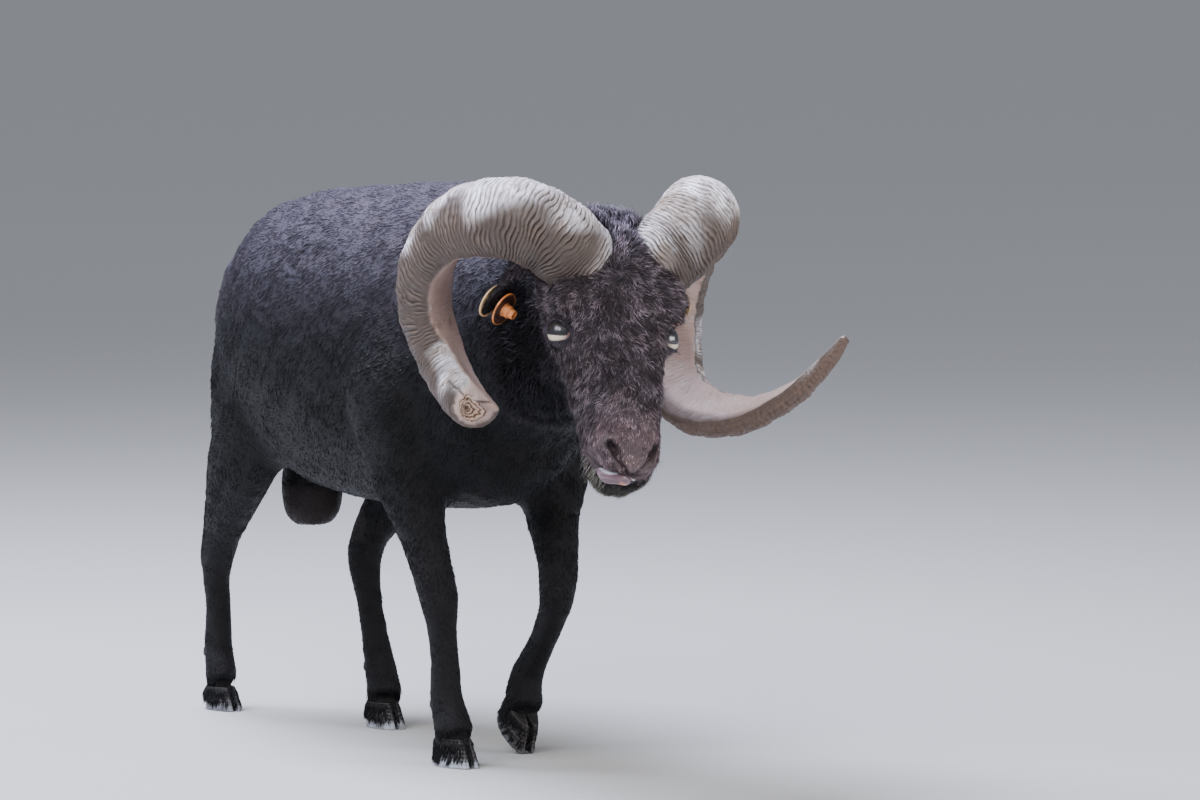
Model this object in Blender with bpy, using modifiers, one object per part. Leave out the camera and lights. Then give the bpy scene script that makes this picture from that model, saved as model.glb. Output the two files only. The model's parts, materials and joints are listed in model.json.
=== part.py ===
"""A small black ram with full horns, walking, life size, as a still model.

The flesh is lofted from a few stations for each limb, joined, smoothed and
then parted with thin cuts. The ram faces -Y, its left side is +X and it
stands on Z = 0. Every number is in metres unless its name says degrees.
"""

import math

import bmesh
import bpy
import numpy as np
from mathutils import Euler, Matrix, Vector

# Driving dimensions
GAP = 0.0003
RING_SIDES = 28
STATION_STEPS = 5
VOXEL = 0.004
BODY_TRIANGLES = 1800
HEAD_TRIANGLES = 3000
BODY_SMOOTHING = 14
HEAD_SMOOTHING = 6

# The head's own axes: a runs from poll to nose, b to the throat, c to its left
POLL = Vector((-0.002, -0.412, 0.448))
FACE_SLOPE_DEGREES = 59.8
HEAD_TURN_DEGREES = 9.0
HEAD_TILT_DEGREES = 5.0

EYE_PLACE = (0.0800, 0.0340, 0.0390)
EYE_RADIUS = 0.0125

# Stations: y, top z, bottom z, half width
TRUNK_STATIONS = (
    (-0.262, 0.340, 0.270, 0.036),
    (-0.248, 0.392, 0.238, 0.064),
    (-0.215, 0.446, 0.213, 0.083),
    (-0.160, 0.475, 0.204, 0.097),
    (-0.085, 0.475, 0.199, 0.111),
    (0.000, 0.470, 0.197, 0.118),
    (0.080, 0.467, 0.201, 0.116),
    (0.142, 0.459, 0.215, 0.105),
    (0.192, 0.443, 0.242, 0.087),
    (0.234, 0.410, 0.280, 0.062),
    (0.257, 0.372, 0.315, 0.034),
)
TRUNK_POWER = 2.05

# Stations: x, y, z of the centre, half height, half width
NECK_STATIONS = (
    (0.000, -0.170, 0.350, 0.110, 0.078),
    (0.000, -0.235, 0.358, 0.101, 0.074),
    (-0.002, -0.295, 0.369, 0.087, 0.065),
    (-0.004, -0.345, 0.379, 0.071, 0.055),
    (-0.006, -0.385, 0.386, 0.053, 0.045),
)

# Stations: a, dorsal b, ventral b, half width, narrowing towards the jaw
HEAD_STATIONS = (
    (-0.034, 0.034, 0.078, 0.030, 0.00),
    (-0.018, 0.010, 0.096, 0.042, 0.00),
    (0.006, -0.003, 0.106, 0.050, 0.06),
    (0.032, -0.008, 0.110, 0.054, 0.12),
    (0.060, -0.006, 0.108, 0.051, 0.20),
    (0.088, -0.002, 0.100, 0.043, 0.20),
    (0.118, 0.000, 0.090, 0.036, 0.12),
    (0.150, 0.000, 0.085, 0.0315, 0.08),
    (0.176, 0.002, 0.079, 0.0280, 0.08),
    (0.194, 0.008, 0.071, 0.0232, 0.08),
    (0.204, 0.017, 0.059, 0.0160, 0.00),
    (0.208, 0.026, 0.046, 0.007, 0.00),
)
HEAD_POWER = 2.35

# Soft lumps of the head: place in a, b, c and three radii, given for both sides
HEAD_LUMPS = (
    ((0.054, 0.014, 0.0330), (0.032, 0.019, 0.0245)),
    ((0.074, 0.031, 0.0310), (0.026, 0.021, 0.0175)),
    ((0.066, 0.074, 0.025), (0.038, 0.032, 0.019)),
    ((0.186, 0.024, 0.0135), (0.015, 0.014, 0.0125)),
    ((0.184, 0.064, 0.006), (0.019, 0.0155, 0.0125)),
)

# Legs, stations: x, y, z of the centre, half depth, half width
FORELEG_RIGHT = (
    (-0.068, -0.130, 0.375, 0.052, 0.026),
    (-0.073, -0.148, 0.300, 0.056, 0.036),
    (-0.066, -0.160, 0.240, 0.042, 0.032),
    (-0.060, -0.168, 0.200, 0.027, 0.0225),
    (-0.056, -0.180, 0.168, 0.022, 0.0190),
    (-0.053, -0.190, 0.139, 0.0195, 0.0185),
    (-0.050, -0.191, 0.112, 0.0150, 0.0145),
    (-0.047, -0.190, 0.084, 0.0145, 0.0135),
    (-0.046, -0.190, 0.056, 0.0165, 0.0155),
    (-0.045, -0.198, 0.038, 0.0170, 0.0170),
    (-0.044, -0.204, 0.0235, 0.0225, 0.0190),
)
FORELEG_LEFT = (
    (0.068, -0.130, 0.375, 0.052, 0.026),
    (0.074, -0.148, 0.300, 0.056, 0.036),
    (0.066, -0.162, 0.240, 0.042, 0.031),
    (0.057, -0.180, 0.200, 0.027, 0.0235),
    (0.053, -0.197, 0.168, 0.021, 0.0185),
    (0.047, -0.208, 0.140, 0.0180, 0.0175),
    (0.048, -0.194, 0.115, 0.0145, 0.0140),
    (0.048, -0.172, 0.089, 0.0140, 0.0135),
    (0.046, -0.152, 0.064, 0.0165, 0.0160),
    (0.043, -0.154, 0.047, 0.0175, 0.0175),
    (0.041, -0.159, 0.035, 0.0200, 0.0195),
)
HINDLEG_RIGHT = (
    (-0.052, 0.155, 0.390, 0.040, 0.022),
    (-0.062, 0.148, 0.330, 0.060, 0.034),
    (-0.068, 0.146, 0.280, 0.061, 0.036),
    (-0.070, 0.164, 0.235, 0.047, 0.031),
    (-0.067, 0.198, 0.192, 0.032, 0.0235),
    (-0.063, 0.228, 0.160, 0.0230, 0.0175),
    (-0.062, 0.242, 0.138, 0.0200, 0.0160),
    (-0.060, 0.247, 0.112, 0.0150, 0.0135),
    (-0.058, 0.248, 0.084, 0.0140, 0.0130),
    (-0.058, 0.248, 0.056, 0.0155, 0.0145),
    (-0.059, 0.242, 0.038, 0.0160, 0.0155),
    (-0.059, 0.237, 0.0235, 0.0210, 0.0170),
)
HINDLEG_LEFT = (
    (0.054, 0.155, 0.390, 0.042, 0.022),
    (0.064, 0.142, 0.330, 0.062, 0.035),
    (0.068, 0.122, 0.280, 0.061, 0.036),
    (0.066, 0.115, 0.235, 0.048, 0.030),
    (0.055, 0.128, 0.192, 0.032, 0.0235),
    (0.042, 0.143, 0.162, 0.0235, 0.0180),
    (0.036, 0.145, 0.140, 0.0200, 0.0165),
    (0.030, 0.126, 0.112, 0.0150, 0.0135),
    (0.024, 0.102, 0.084, 0.0140, 0.0130),
    (0.019, 0.079, 0.056, 0.0160, 0.0155),
    (0.016, 0.065, 0.038, 0.0170, 0.0165),
    (0.014, 0.057, 0.0235, 0.0220, 0.0185),
)

LEGS = {
    "foreleg_right": FORELEG_RIGHT,
    "foreleg_left": FORELEG_LEFT,
    "hindleg_right": HINDLEG_RIGHT,
    "hindleg_left": HINDLEG_LEFT,
}

TAIL_STATIONS = (
    (0.000, 0.218, 0.402, 0.012, 0.018),
    (0.000, 0.248, 0.399, 0.013, 0.020),
    (0.000, 0.268, 0.378, 0.012, 0.019),
    (0.000, 0.273, 0.342, 0.011, 0.017),
    (0.000, 0.270, 0.308, 0.009, 0.013),
    (0.000, 0.265, 0.288, 0.004, 0.006),
)
SCROTUM_STATIONS = (
    (0.000, 0.172, 0.262, 0.028, 0.022),
    (0.000, 0.174, 0.232, 0.033, 0.028),
    (0.000, 0.175, 0.200, 0.038, 0.033),
    (0.000, 0.176, 0.178, 0.036, 0.032),
    (0.000, 0.176, 0.164, 0.024, 0.021),
)

# Horns, stations: x, y, z of the centre and the half width of the section
HORN_RIGHT = (
    (-0.0155, -0.406, 0.409, 0.0170),
    (-0.0250, -0.407, 0.417, 0.0270),
    (-0.038, -0.407, 0.428, 0.0320),
    (-0.060, -0.404, 0.445, 0.0340),
    (-0.085, -0.386, 0.455, 0.0345),
    (-0.106, -0.345, 0.447, 0.0320),
    (-0.1135, -0.308, 0.417, 0.0285),
    (-0.1090, -0.291, 0.380, 0.0265),
    (-0.0995, -0.2980, 0.346, 0.0252),
    (-0.0985, -0.3285, 0.321, 0.0250),
    (-0.1025, -0.366, 0.3080, 0.0232),
)
HORN_LEFT = (
    (0.0185, -0.409, 0.405, 0.0170),
    (0.0280, -0.409, 0.413, 0.0270),
    (0.041, -0.408, 0.424, 0.0320),
    (0.062, -0.404, 0.440, 0.0335),
    (0.086, -0.384, 0.454, 0.0332),
    (0.104, -0.345, 0.449, 0.0300),
    (0.1100, -0.308, 0.418, 0.0270),
    (0.1115, -0.288, 0.380, 0.0255),
    (0.1115, -0.287, 0.342, 0.0250),
    (0.1085, -0.302, 0.313, 0.0240),
    (0.1115, -0.337, 0.295, 0.0218),
    (0.1285, -0.380, 0.294, 0.0170),
    (0.150, -0.415, 0.312, 0.0130),
    (0.1685, -0.440, 0.338, 0.0095),
    (0.1787, -0.454, 0.3575, 0.0052),
)
HORN_SIDES = 12
HORN_STEPS = 2
HORN_CURL_CENTRE = (-0.365, 0.375)
HORN_FLAT_INWARD = 0.74
HORN_FLAT_MEDIAL = 0.67
HORN_FLAT_DEPTH = 0.5
HORN_THICKNESS = 0.92

# Ears in the head's axes for the left side: centre, half width, half thickness
EAR_STATIONS = (
    (0.012, 0.038, 0.0500, 0.0090, 0.0070),
    (0.020, 0.046, 0.0680, 0.0140, 0.0058),
    (0.031, 0.060, 0.0785, 0.0165, 0.0042),
    (0.040, 0.074, 0.0865, 0.0145, 0.0034),
    (0.044, 0.083, 0.0915, 0.0090, 0.0028),
    (0.047, 0.089, 0.0945, 0.0030, 0.0018),
)
EAR_LEFT_SHIFT = (-0.020, 0.018, -0.009)
TAG_AXIS = (0.676, -0.362, -0.642)
TAG_PLACE = (0.0400, 0.0695, 0.0812)
TAG_DISC_RADIUS = 0.0140
TAG_DISC_THICKNESS = 0.0016
TAG_SPREAD = 0.0058

# The mouth in the head's axes: the slit runs from the corner to the front
MOUTH_CORNER = (0.173, 0.0500, 0.0)
MOUTH_NORMAL = (-0.603, -0.798, 0.0)
MOUTH_BACK = (-0.798, 0.603, 0.0)
MOUTH_OPENING = 0.0016
JAW_BACK = (0.088, 0.100, 0.0)
NOSTRIL = ((0.1865, 0.012, 0.0190), (0.2040, 0.026, 0.0040))
NOSTRIL_LOOK = (0.8, -0.5, 0.3)
NOSTRIL_HALF_HEIGHT = 0.0030
NOSTRIL_HALF_DEPTH = 0.0060
EYE_CORNERS = ((0.0873, 0.0202, 0.0443), (0.0751, 0.0364, 0.0551))
EYE_LOOK = (0.10, -0.50, 0.86)
EYE_OPENING_HALF_HEIGHT = 0.0075
EYE_OPENING_HALF_DEPTH = 0.0080

TONGUE_STATIONS = (
    (0.1807, 0.0470, -0.0080, 0.0100, 0.0022),
    (0.1905, 0.0408, -0.0085, 0.0128, 0.0032),
    (0.2002, 0.0347, -0.0088, 0.0148, 0.0042),
    (0.2072, 0.0298, -0.0088, 0.0142, 0.0045),
    (0.2095, 0.0262, -0.0088, 0.0085, 0.0030),
)

# Where the body is parted: planes as a point and the way out of the piece
HEAD_FROM_NECK = ((0.020, 0.118, 0.0), (-0.62, 0.78, 0.0))
NECK_FROM_TRUNK = ((0.0, -0.262, 0.36), (0.0, 0.90, -0.42))
JAW_BACK_NORMAL = (-0.97, 0.24, 0.0)
CROTCH_Z = 0.206
PARTING_SPAN = 0.20

# Leg partings: crotch x, slanting cut's outer end in x and z, y of the front
# and of the back wall at the foot and higher up, x where the inner wall stands
LEG_PARTINGS = {
    "foreleg_right": (0.014, (0.128, 0.390), (-0.250, -0.250), (-0.100, -0.085), 0.0),
    "foreleg_left": (0.014, (0.128, 0.390), (-0.250, -0.250), (-0.100, -0.085), 0.0),
    "hindleg_right": (0.030, (0.125, 0.400), (0.130, 0.090), (0.330, 0.330), 0.018),
    "hindleg_left": (0.022, (0.125, 0.400), (-0.020, 0.050), (0.330, 0.330), -0.018),
}
KNEE_Z = {"foreleg_right": 0.139, "foreleg_left": 0.140, "hindleg_right": 0.142, "hindleg_left": 0.145}

CLAW_SIDES = 12
CLAW_LEVELS = (0.0, 0.45, 1.0)
CLAW_INNER_WALL = 0.30
CLAW_TOE_PINCH = 0.20
CLAW_LENGTH = 0.046
CLAW_WIDTH = 0.0137
CLAW_HEIGHT = 0.0230
CLAW_SPACING = 0.0034
CLAW_TOP_SHRINK = 0.78
CLAW_TOP_SHIFT = 0.0070
DEWCLAW_RADIUS = 0.0044
DEWCLAW_LENGTH = 0.0105
DEWCLAW_SPREAD = 0.0080
DEWCLAW_OFFSET = (0.0135, -0.0065)
DEWCLAW_TILT_DEGREES = -140.0

# Feet: the sole's centre, toe-down pitch and turn in degrees, and relative size
FEET = {
    "foreleg_right": ((-0.044, -0.209, 0.0), 0.0, 6.0, 1.0),
    "foreleg_left": ((0.040, -0.147, 0.0150), 45.0, 4.0, 1.0),
    "hindleg_right": ((-0.059, 0.232, 0.0), 0.0, 6.0, 0.88),
    "hindleg_left": ((0.014, 0.052, 0.0), 0.0, 2.0, 0.96),
}

FLEECE = ("black_fleece", (0.020, 0.017, 0.018), 0.85)
HORN = ("horn_keratin", (0.36, 0.28, 0.22), 0.55)
HOOF = ("hoof_keratin", (0.16, 0.15, 0.15), 0.50)
EYE = ("eye_amber", (0.52, 0.44, 0.30), 0.10)
TONGUE = ("tongue_flesh", (0.42, 0.27, 0.30), 0.30)
TAG_ORANGE = ("tag_orange", (0.75, 0.27, 0.06), 0.45)
TAG_CREAM = ("tag_cream", (0.66, 0.45, 0.22), 0.45)


def head_matrix():
    """Axes of the head as columns a, b, c at the poll."""
    slope = math.radians(FACE_SLOPE_DEGREES)
    turn = Euler((0.0, math.radians(HEAD_TILT_DEGREES), math.radians(-HEAD_TURN_DEGREES)))
    basis = turn.to_matrix()
    along = basis @ Vector((0.0, -math.cos(slope), -math.sin(slope)))
    throat = basis @ Vector((0.0, math.sin(slope), -math.cos(slope)))
    left = basis @ Vector((1.0, 0.0, 0.0))
    matrix = Matrix((along, throat, left)).transposed().to_4x4()
    matrix.translation = POLL
    return matrix


HEAD = head_matrix()


def smooth_track(stations, steps=STATION_STEPS):
    """Rows read from a smooth curve that passes through the stations."""
    rows = np.array(stations, float)
    padded = np.vstack([2 * rows[0] - rows[1], rows, 2 * rows[-1] - rows[-2]])
    track = []
    for i in range(len(rows) - 1):
        before, start, end, after = padded[i:i + 4]
        for t in np.arange(steps) / steps:
            bend = 2 * before - 5 * start + 4 * end - after
            lift = 3 * start - before - 3 * end + after
            track.append(start + 0.5 * ((end - before) * t + bend * t * t + lift * t ** 3))
    track.append(rows[-1])
    return np.array(track)


def section(half_side, half_up, power=2.0, narrowing=0.0, sides=RING_SIDES):
    """Points of a rounded section: side and up distances from its centre."""
    angle = 2 * np.pi * np.arange(sides) / sides
    side = np.sign(np.cos(angle)) * np.abs(np.cos(angle)) ** (2 / power)
    rise = np.sign(np.sin(angle)) * np.abs(np.sin(angle)) ** (2 / power)
    return side * half_side * (1 + narrowing * rise), rise * half_up


def face_outward(shell):
    """Turn every face of a closed mesh outwards."""
    shell.normal_update()
    bmesh.ops.recalc_face_normals(shell, faces=shell.faces)


def loft(rings):
    """A closed mesh skinned over rings of points, with fanned ends."""
    shell = bmesh.new()
    loops = [[shell.verts.new(point) for point in ring] for ring in rings]
    for near, far in zip(loops, loops[1:]):
        for i in range(len(near)):
            j = (i + 1) % len(near)
            shell.faces.new((near[i], near[j], far[j], far[i]))
    for loop in (loops[0], loops[-1]):
        middle = shell.verts.new(sum((v.co for v in loop), Vector()) / len(loop))
        for i in range(len(loop)):
            shell.faces.new((loop[i], loop[(i + 1) % len(loop)], middle))
    face_outward(shell)
    return shell


def tube_rings(stations, first_axis, sides=RING_SIDES, steps=STATION_STEPS):
    """Rings round a centre line: half sizes lie along first_axis and across it."""
    track = smooth_track(stations, steps)
    centres = track[:, :3]
    tangents = np.gradient(centres, axis=0)
    tangents /= np.linalg.norm(tangents, axis=1)[:, None]
    rings = []
    for centre, tangent, (half_first, half_second) in zip(centres, tangents, track[:, 3:5]):
        first = np.array(first_axis) - np.dot(first_axis, tangent) * tangent
        first /= np.linalg.norm(first)
        second = np.cross(tangent, first)
        u, v = section(half_first, half_second, sides=sides)
        rings.append([Vector(centre + first * p + second * q) for p, q in zip(u, v)])
    return rings


def ball(place, radii, segments=20, rings=12):
    """An ellipsoid at a place in the head's axes."""
    shell = bmesh.new()
    bmesh.ops.create_uvsphere(shell, u_segments=segments, v_segments=rings, radius=1.0)
    stretch = Matrix.Diagonal((*radii, 1.0))
    shell.transform(HEAD @ Matrix.Translation(place) @ stretch)
    face_outward(shell)
    return shell


def lens(start, end, half_height, half_depth, outward, side):
    """An ellipsoid stretched between two points in the head's axes."""
    mirror = Vector((1.0, 1.0, side))
    first = Vector(start) * mirror
    last = Vector(end) * mirror
    along = last - first
    depth = Vector(outward) * mirror
    depth = (depth - along * depth.dot(along) / along.length_squared).normalized()
    height = depth.cross(along).normalized()
    basis = Matrix((along / 2, height * half_height, depth * half_depth)).transposed().to_4x4()
    basis.translation = (first + last) / 2
    shell = bmesh.new()
    bmesh.ops.create_uvsphere(shell, u_segments=12, v_segments=8, radius=1.0)
    shell.transform(HEAD @ basis)
    face_outward(shell)
    return shell


def trunk_loft():
    """The barrel of the body, chest to rump."""
    rings = []
    for y, top, bottom, half_width in smooth_track(TRUNK_STATIONS):
        u, v = section(half_width, (top - bottom) / 2, TRUNK_POWER)
        middle = (top + bottom) / 2
        rings.append([Vector((p, y, middle + q)) for p, q in zip(u, v)])
    return loft(rings)


def head_loft():
    """The skull and muzzle, poll to nose."""
    rings = []
    for a, top, bottom, half_width, narrowing in smooth_track(HEAD_STATIONS):
        u, v = section(half_width, (bottom - top) / 2, HEAD_POWER, -narrowing)
        middle = (top + bottom) / 2
        rings.append([HEAD @ Vector((a, middle + q, p)) for p, q in zip(u, v)])
    return loft(rings)


def flesh_shells():
    """Every overlapping shell of the body that becomes one flesh mesh."""
    shells = [trunk_loft(), head_loft(), loft(tube_rings(NECK_STATIONS, (0, 0, 1)))]
    for stations in LEGS.values():
        shells.append(loft(tube_rings(stations, (0, 1, 0))))
    for (a, b, c), radii in HEAD_LUMPS:
        for side in (1, -1):
            shells.append(ball((a, b, side * c), radii))
    return shells


def new_object(name, shell, finish, collection):
    """An object made of a bmesh, in a finish, in a collection."""
    mesh = bpy.data.meshes.new(name)
    bmesh.ops.triangulate(shell, faces=shell.faces)
    shell.to_mesh(mesh)
    shell.free()
    thing = bpy.data.objects.new(name, mesh)
    collection.objects.link(thing)
    if finish is not None:
        mesh.materials.append(material(*finish))
    return thing


def material(name, colour, roughness):
    """A Principled material, made once."""
    found = bpy.data.materials.get(name)
    if found is not None:
        return found
    made = bpy.data.materials.new(name)
    made.use_nodes = True
    shader = made.node_tree.nodes["Principled BSDF"]
    shader.inputs["Base Color"].default_value = (*colour, 1.0)
    shader.inputs["Roughness"].default_value = roughness
    shader.inputs["Metallic"].default_value = 0.0
    made.diffuse_color = (*colour, 1.0)
    return made


def apply_modifiers(thing):
    """Replace an object's mesh with its evaluated one and drop its modifiers."""
    depsgraph = bpy.context.evaluated_depsgraph_get()
    baked = bpy.data.meshes.new_from_object(thing.evaluated_get(depsgraph))
    thing.modifiers.clear()
    old = thing.data
    thing.data = baked
    bpy.data.meshes.remove(old)


def join_flesh(collection):
    """The whole body as one smooth closed mesh of few triangles."""
    heap = bmesh.new()
    for shell in flesh_shells():
        part = bpy.data.meshes.new("shell")
        shell.to_mesh(part)
        shell.free()
        heap.from_mesh(part)
        bpy.data.meshes.remove(part)
    flesh = new_object("whole", heap, FLEECE, collection)
    remesh = flesh.modifiers.new("remesh", "REMESH")
    remesh.mode = "VOXEL"
    remesh.voxel_size = VOXEL
    apply_modifiers(flesh)
    mark_head(flesh)
    for group, rounds, inverted in (("head", HEAD_SMOOTHING, False), ("head", BODY_SMOOTHING, True)):
        smooth = flesh.modifiers.new("smooth", "SMOOTH")
        smooth.factor = 0.5
        smooth.iterations = rounds
        smooth.vertex_group = group
        smooth.invert_vertex_group = inverted
    apply_modifiers(flesh)
    flesh.vertex_groups.clear()
    return flesh


def thinned(flesh, name, triangles, collection):
    """A copy of the flesh with about the given number of triangles."""
    copy = flesh.copy()
    copy.data = flesh.data.copy()
    copy.name = name
    collection.objects.link(copy)
    faces = sum(len(face.vertices) - 2 for face in copy.data.polygons)
    thin = copy.modifiers.new("thin", "DECIMATE")
    thin.ratio = triangles / faces
    apply_modifiers(copy)
    return copy


def mark_head(flesh):
    """A vertex group with full weight on the head and the lower legs."""
    group = flesh.vertex_groups.new(name="head")
    back = HEAD.inverted()
    for vertex in flesh.data.vertices:
        a, b, c = back @ vertex.co
        nearness = min(max((0.135 - b) / 0.04, 0.0), 1.0)
        if vertex.co.z > 0.235 and vertex.co.y < -0.30:
            group.add([vertex.index], nearness, "REPLACE")
        elif vertex.co.z < 0.15:
            group.add([vertex.index], 0.8, "REPLACE")


def block(name, planes, grow, collection):
    """A convex cutter: a cube bounded by planes, each moved out by grow."""
    shell = bmesh.new()
    bmesh.ops.create_cube(shell, size=3.0)
    for point, outward in planes:
        normal = Vector(outward).normalized()
        cut = bmesh.ops.bisect_plane(
            shell,
            geom=shell.verts[:] + shell.edges[:] + shell.faces[:],
            dist=1e-7,
            plane_co=Vector(point) + normal * grow,
            plane_no=normal,
            clear_outer=True,
        )
        rim = [piece for piece in cut["geom_cut"] if isinstance(piece, bmesh.types.BMEdge)]
        bmesh.ops.edgeloop_fill(shell, edges=rim)
    face_outward(shell)
    return cutter(new_object(name, shell, None, collection))


def cutter(thing):
    """Mark an object as a cutter, which isn't part of the model."""
    thing.hide_render = True
    thing.display_type = "WIRE"
    return thing


def boolean(thing, tool, operation):
    """Cut a thing with a tool, keep its largest body and drop the tool."""
    modifier = thing.modifiers.new("cut", "BOOLEAN")
    modifier.object = tool
    modifier.operation = operation
    modifier.solver = "EXACT"
    apply_modifiers(thing)
    bpy.data.objects.remove(tool)
    keep_largest(thing)


def keep_largest(thing):
    """Remove crumbs that a cut left beside the main body."""
    shell = bmesh.new()
    shell.from_mesh(thing.data)
    bmesh.ops.remove_doubles(shell, verts=shell.verts, dist=1e-6)
    bmesh.ops.dissolve_degenerate(shell, dist=1e-6, edges=shell.edges)
    left = set(shell.verts)
    islands = []
    while left:
        front = [left.pop()]
        island = list(front)
        while front:
            vertex = front.pop()
            for edge in vertex.link_edges:
                other = edge.other_vert(vertex)
                if other in left:
                    left.remove(other)
                    front.append(other)
                    island.append(other)
        islands.append(island)
    islands.sort(key=len)
    for island in islands[:-1]:
        bmesh.ops.delete(shell, geom=island, context="VERTS")
    bmesh.ops.triangulate(shell, faces=shell.faces)
    shell.to_mesh(thing.data)
    shell.free()


def part_off(flesh, name, planes, collection, tools):
    """Cut the block's share of the flesh off as its own object."""
    piece = flesh.copy()
    piece.data = flesh.data.copy()
    piece.name = name
    piece.data.name = name
    collection.objects.link(piece)
    boolean(piece, block("inside", planes, -GAP / 2, tools), "INTERSECT")
    boolean(flesh, block("outside", planes, GAP / 2, tools), "DIFFERENCE")
    return piece


def set_in(host, guest, tools):
    """Open a socket in the host that clears the guest by the gap."""
    shell = bmesh.new()
    shell.from_mesh(guest.data)
    shell.normal_update()
    for vertex in shell.verts:
        vertex.co += vertex.normal * GAP * vertex.calc_shell_factor()
    boolean(host, cutter(new_object("socket", shell, None, tools)), "DIFFERENCE")


def head_plane(point, normal):
    """A plane given in the head's axes, in the model's axes."""
    return HEAD @ Vector(point), HEAD.to_3x3() @ Vector(normal)


def leg_planes(side, crotch_x, slope_top, front, back, middle_x):
    """Block round a whole leg, with a slanting cut under the trunk's side."""
    inner = Vector((side * crotch_x, 0.0, CROTCH_Z))
    outer = Vector((side * slope_top[0], 0.0, slope_top[1]))
    along = outer - inner
    slant = Vector((-side * along.z, 0.0, side * along.x))
    return [
        (inner, slant),
        ((side * middle_x, 0.0, 0.0), (-side, 0.0, 0.0)),
        ((0.0, front[0], PARTING_SPAN / 2), (0.0, -PARTING_SPAN, front[1] - front[0])),
        ((0.0, back[0], PARTING_SPAN / 2), (0.0, PARTING_SPAN, back[0] - back[1])),
    ]


def part_body(whole, collection, tools):
    """Part the flesh into head, jaw, neck and legs, and leave the trunk."""
    pieces = {}
    flesh = thinned(whole, "trunk", BODY_TRIANGLES, collection)
    finer = thinned(whole, "finer", HEAD_TRIANGLES, collection)
    bpy.data.objects.remove(whole)
    head_share = [head_plane(*HEAD_FROM_NECK)]
    pieces["head"] = part_off(finer, "head", head_share, collection, tools)
    bpy.data.objects.remove(finer)
    boolean(flesh, block("outside", head_share, GAP / 2, tools), "DIFFERENCE")
    jaw_share = [
        head_plane(MOUTH_CORNER, MOUTH_NORMAL),
        head_plane(JAW_BACK, JAW_BACK_NORMAL),
    ]
    pieces["jaw"] = part_off(pieces["head"], "jaw", jaw_share, collection, tools)
    pieces["neck"] = part_off(flesh, "neck", [NECK_FROM_TRUNK], collection, tools)
    for name, parting in LEG_PARTINGS.items():
        side = -1 if name.endswith("right") else 1
        upper = part_off(flesh, name + "_upper", leg_planes(side, *parting), collection, tools)
        below = [((0.0, 0.0, KNEE_Z[name]), (0.0, 0.0, 1.0))]
        pieces[name + "_lower"] = part_off(upper, name + "_lower", below, collection, tools)
        pieces[name + "_upper"] = upper
    pieces["trunk"] = flesh
    return pieces


def horn_rings(stations, side):
    """Rings of a horn: a rounded crown with a flat face on its inner side."""
    track = smooth_track(stations, HORN_STEPS)
    centres = track[:, :3]
    tangents = np.gradient(centres, axis=0)
    tangents /= np.linalg.norm(tangents, axis=1)[:, None]
    angle = 2 * np.pi * (np.arange(HORN_SIDES) + 0.5) / HORN_SIDES
    crown = np.maximum(np.cos(angle), -HORN_FLAT_DEPTH)
    rings = []
    for centre, tangent, half in zip(centres, tangents, track[:, 3]):
        inward = np.array((0.0, HORN_CURL_CENTRE[0] - centre[1], HORN_CURL_CENTRE[1] - centre[2]))
        inward /= np.linalg.norm(inward)
        flat = HORN_FLAT_INWARD * inward + HORN_FLAT_MEDIAL * np.array((-side, 0.0, 0.0))
        flat -= np.dot(flat, tangent) * tangent
        flat /= np.linalg.norm(flat)
        across = np.cross(tangent, flat)
        rings.append([
            Vector(centre - flat * c * half * HORN_THICKNESS + across * s * half)
            for c, s in zip(crown, np.sin(angle))
        ])
    return rings


def ear_rings(side):
    """Rings of a leaf-shaped ear, its blade square to the tag."""
    track = smooth_track(EAR_STATIONS, 2)
    axis = Vector(TAG_AXIS).normalized()
    shift = Vector(EAR_LEFT_SHIFT) if side > 0 else Vector()
    rings = []
    for i, (a, b, c, half_width, half_thickness) in enumerate(track):
        ahead = Vector(track[min(i + 1, len(track) - 1)][:3])
        behind = Vector(track[max(i - 1, 0)][:3])
        across = (ahead - behind).cross(axis).normalized()
        u, v = section(half_width, half_thickness, sides=8)
        ring = []
        for p, q in zip(u, v):
            spot = Vector((a, b, c)) + shift + across * p + axis * q
            ring.append(HEAD @ Vector((spot.x, spot.y, side * spot.z)))
        rings.append(ring)
    return rings


def tag_shell(side, offset, front):
    """One half of an ear tag: a thin disc, with a stepped hub on the front."""
    axis = Vector(TAG_AXIS).normalized()
    profile = [(0.0, 0.0), (TAG_DISC_RADIUS, 0.0), (TAG_DISC_RADIUS, TAG_DISC_THICKNESS)]
    if front:
        profile += [(0.0052, 0.0026), (0.0050, 0.0075), (0.0040, 0.0080), (0.0038, 0.0115)]
    profile += [(0.0, profile[-1][1])]
    shell = bmesh.new()
    line = [shell.verts.new((r, 0.0, h)) for r, h in profile]
    edges = [shell.edges.new(pair) for pair in zip(line, line[1:])]
    bmesh.ops.spin(
        shell, geom=line + edges, cent=(0, 0, 0), axis=(0, 0, 1),
        angle=2 * math.pi, steps=12, use_merge=True,
    )
    bmesh.ops.remove_doubles(shell, verts=shell.verts, dist=1e-6)
    turn = axis.to_track_quat("Z", "X").to_matrix().to_4x4()
    shift = Vector(EAR_LEFT_SHIFT) if side > 0 else Vector()
    shell.transform(Matrix.Translation(Vector(TAG_PLACE) + shift + axis * offset) @ turn)
    shell.transform(HEAD @ Matrix.Diagonal((1.0, 1.0, side, 1.0)))
    face_outward(shell)
    return shell


def foot_matrix(name):
    """Axes of a foot: its sole's centre, pitch, turn and size."""
    place, pitch, turn, size = FEET[name]
    swing = Euler((math.radians(pitch), 0.0, math.radians(turn)))
    return Matrix.Translation(place) @ swing.to_matrix().to_4x4() @ Matrix.Scale(size, 4)


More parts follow.
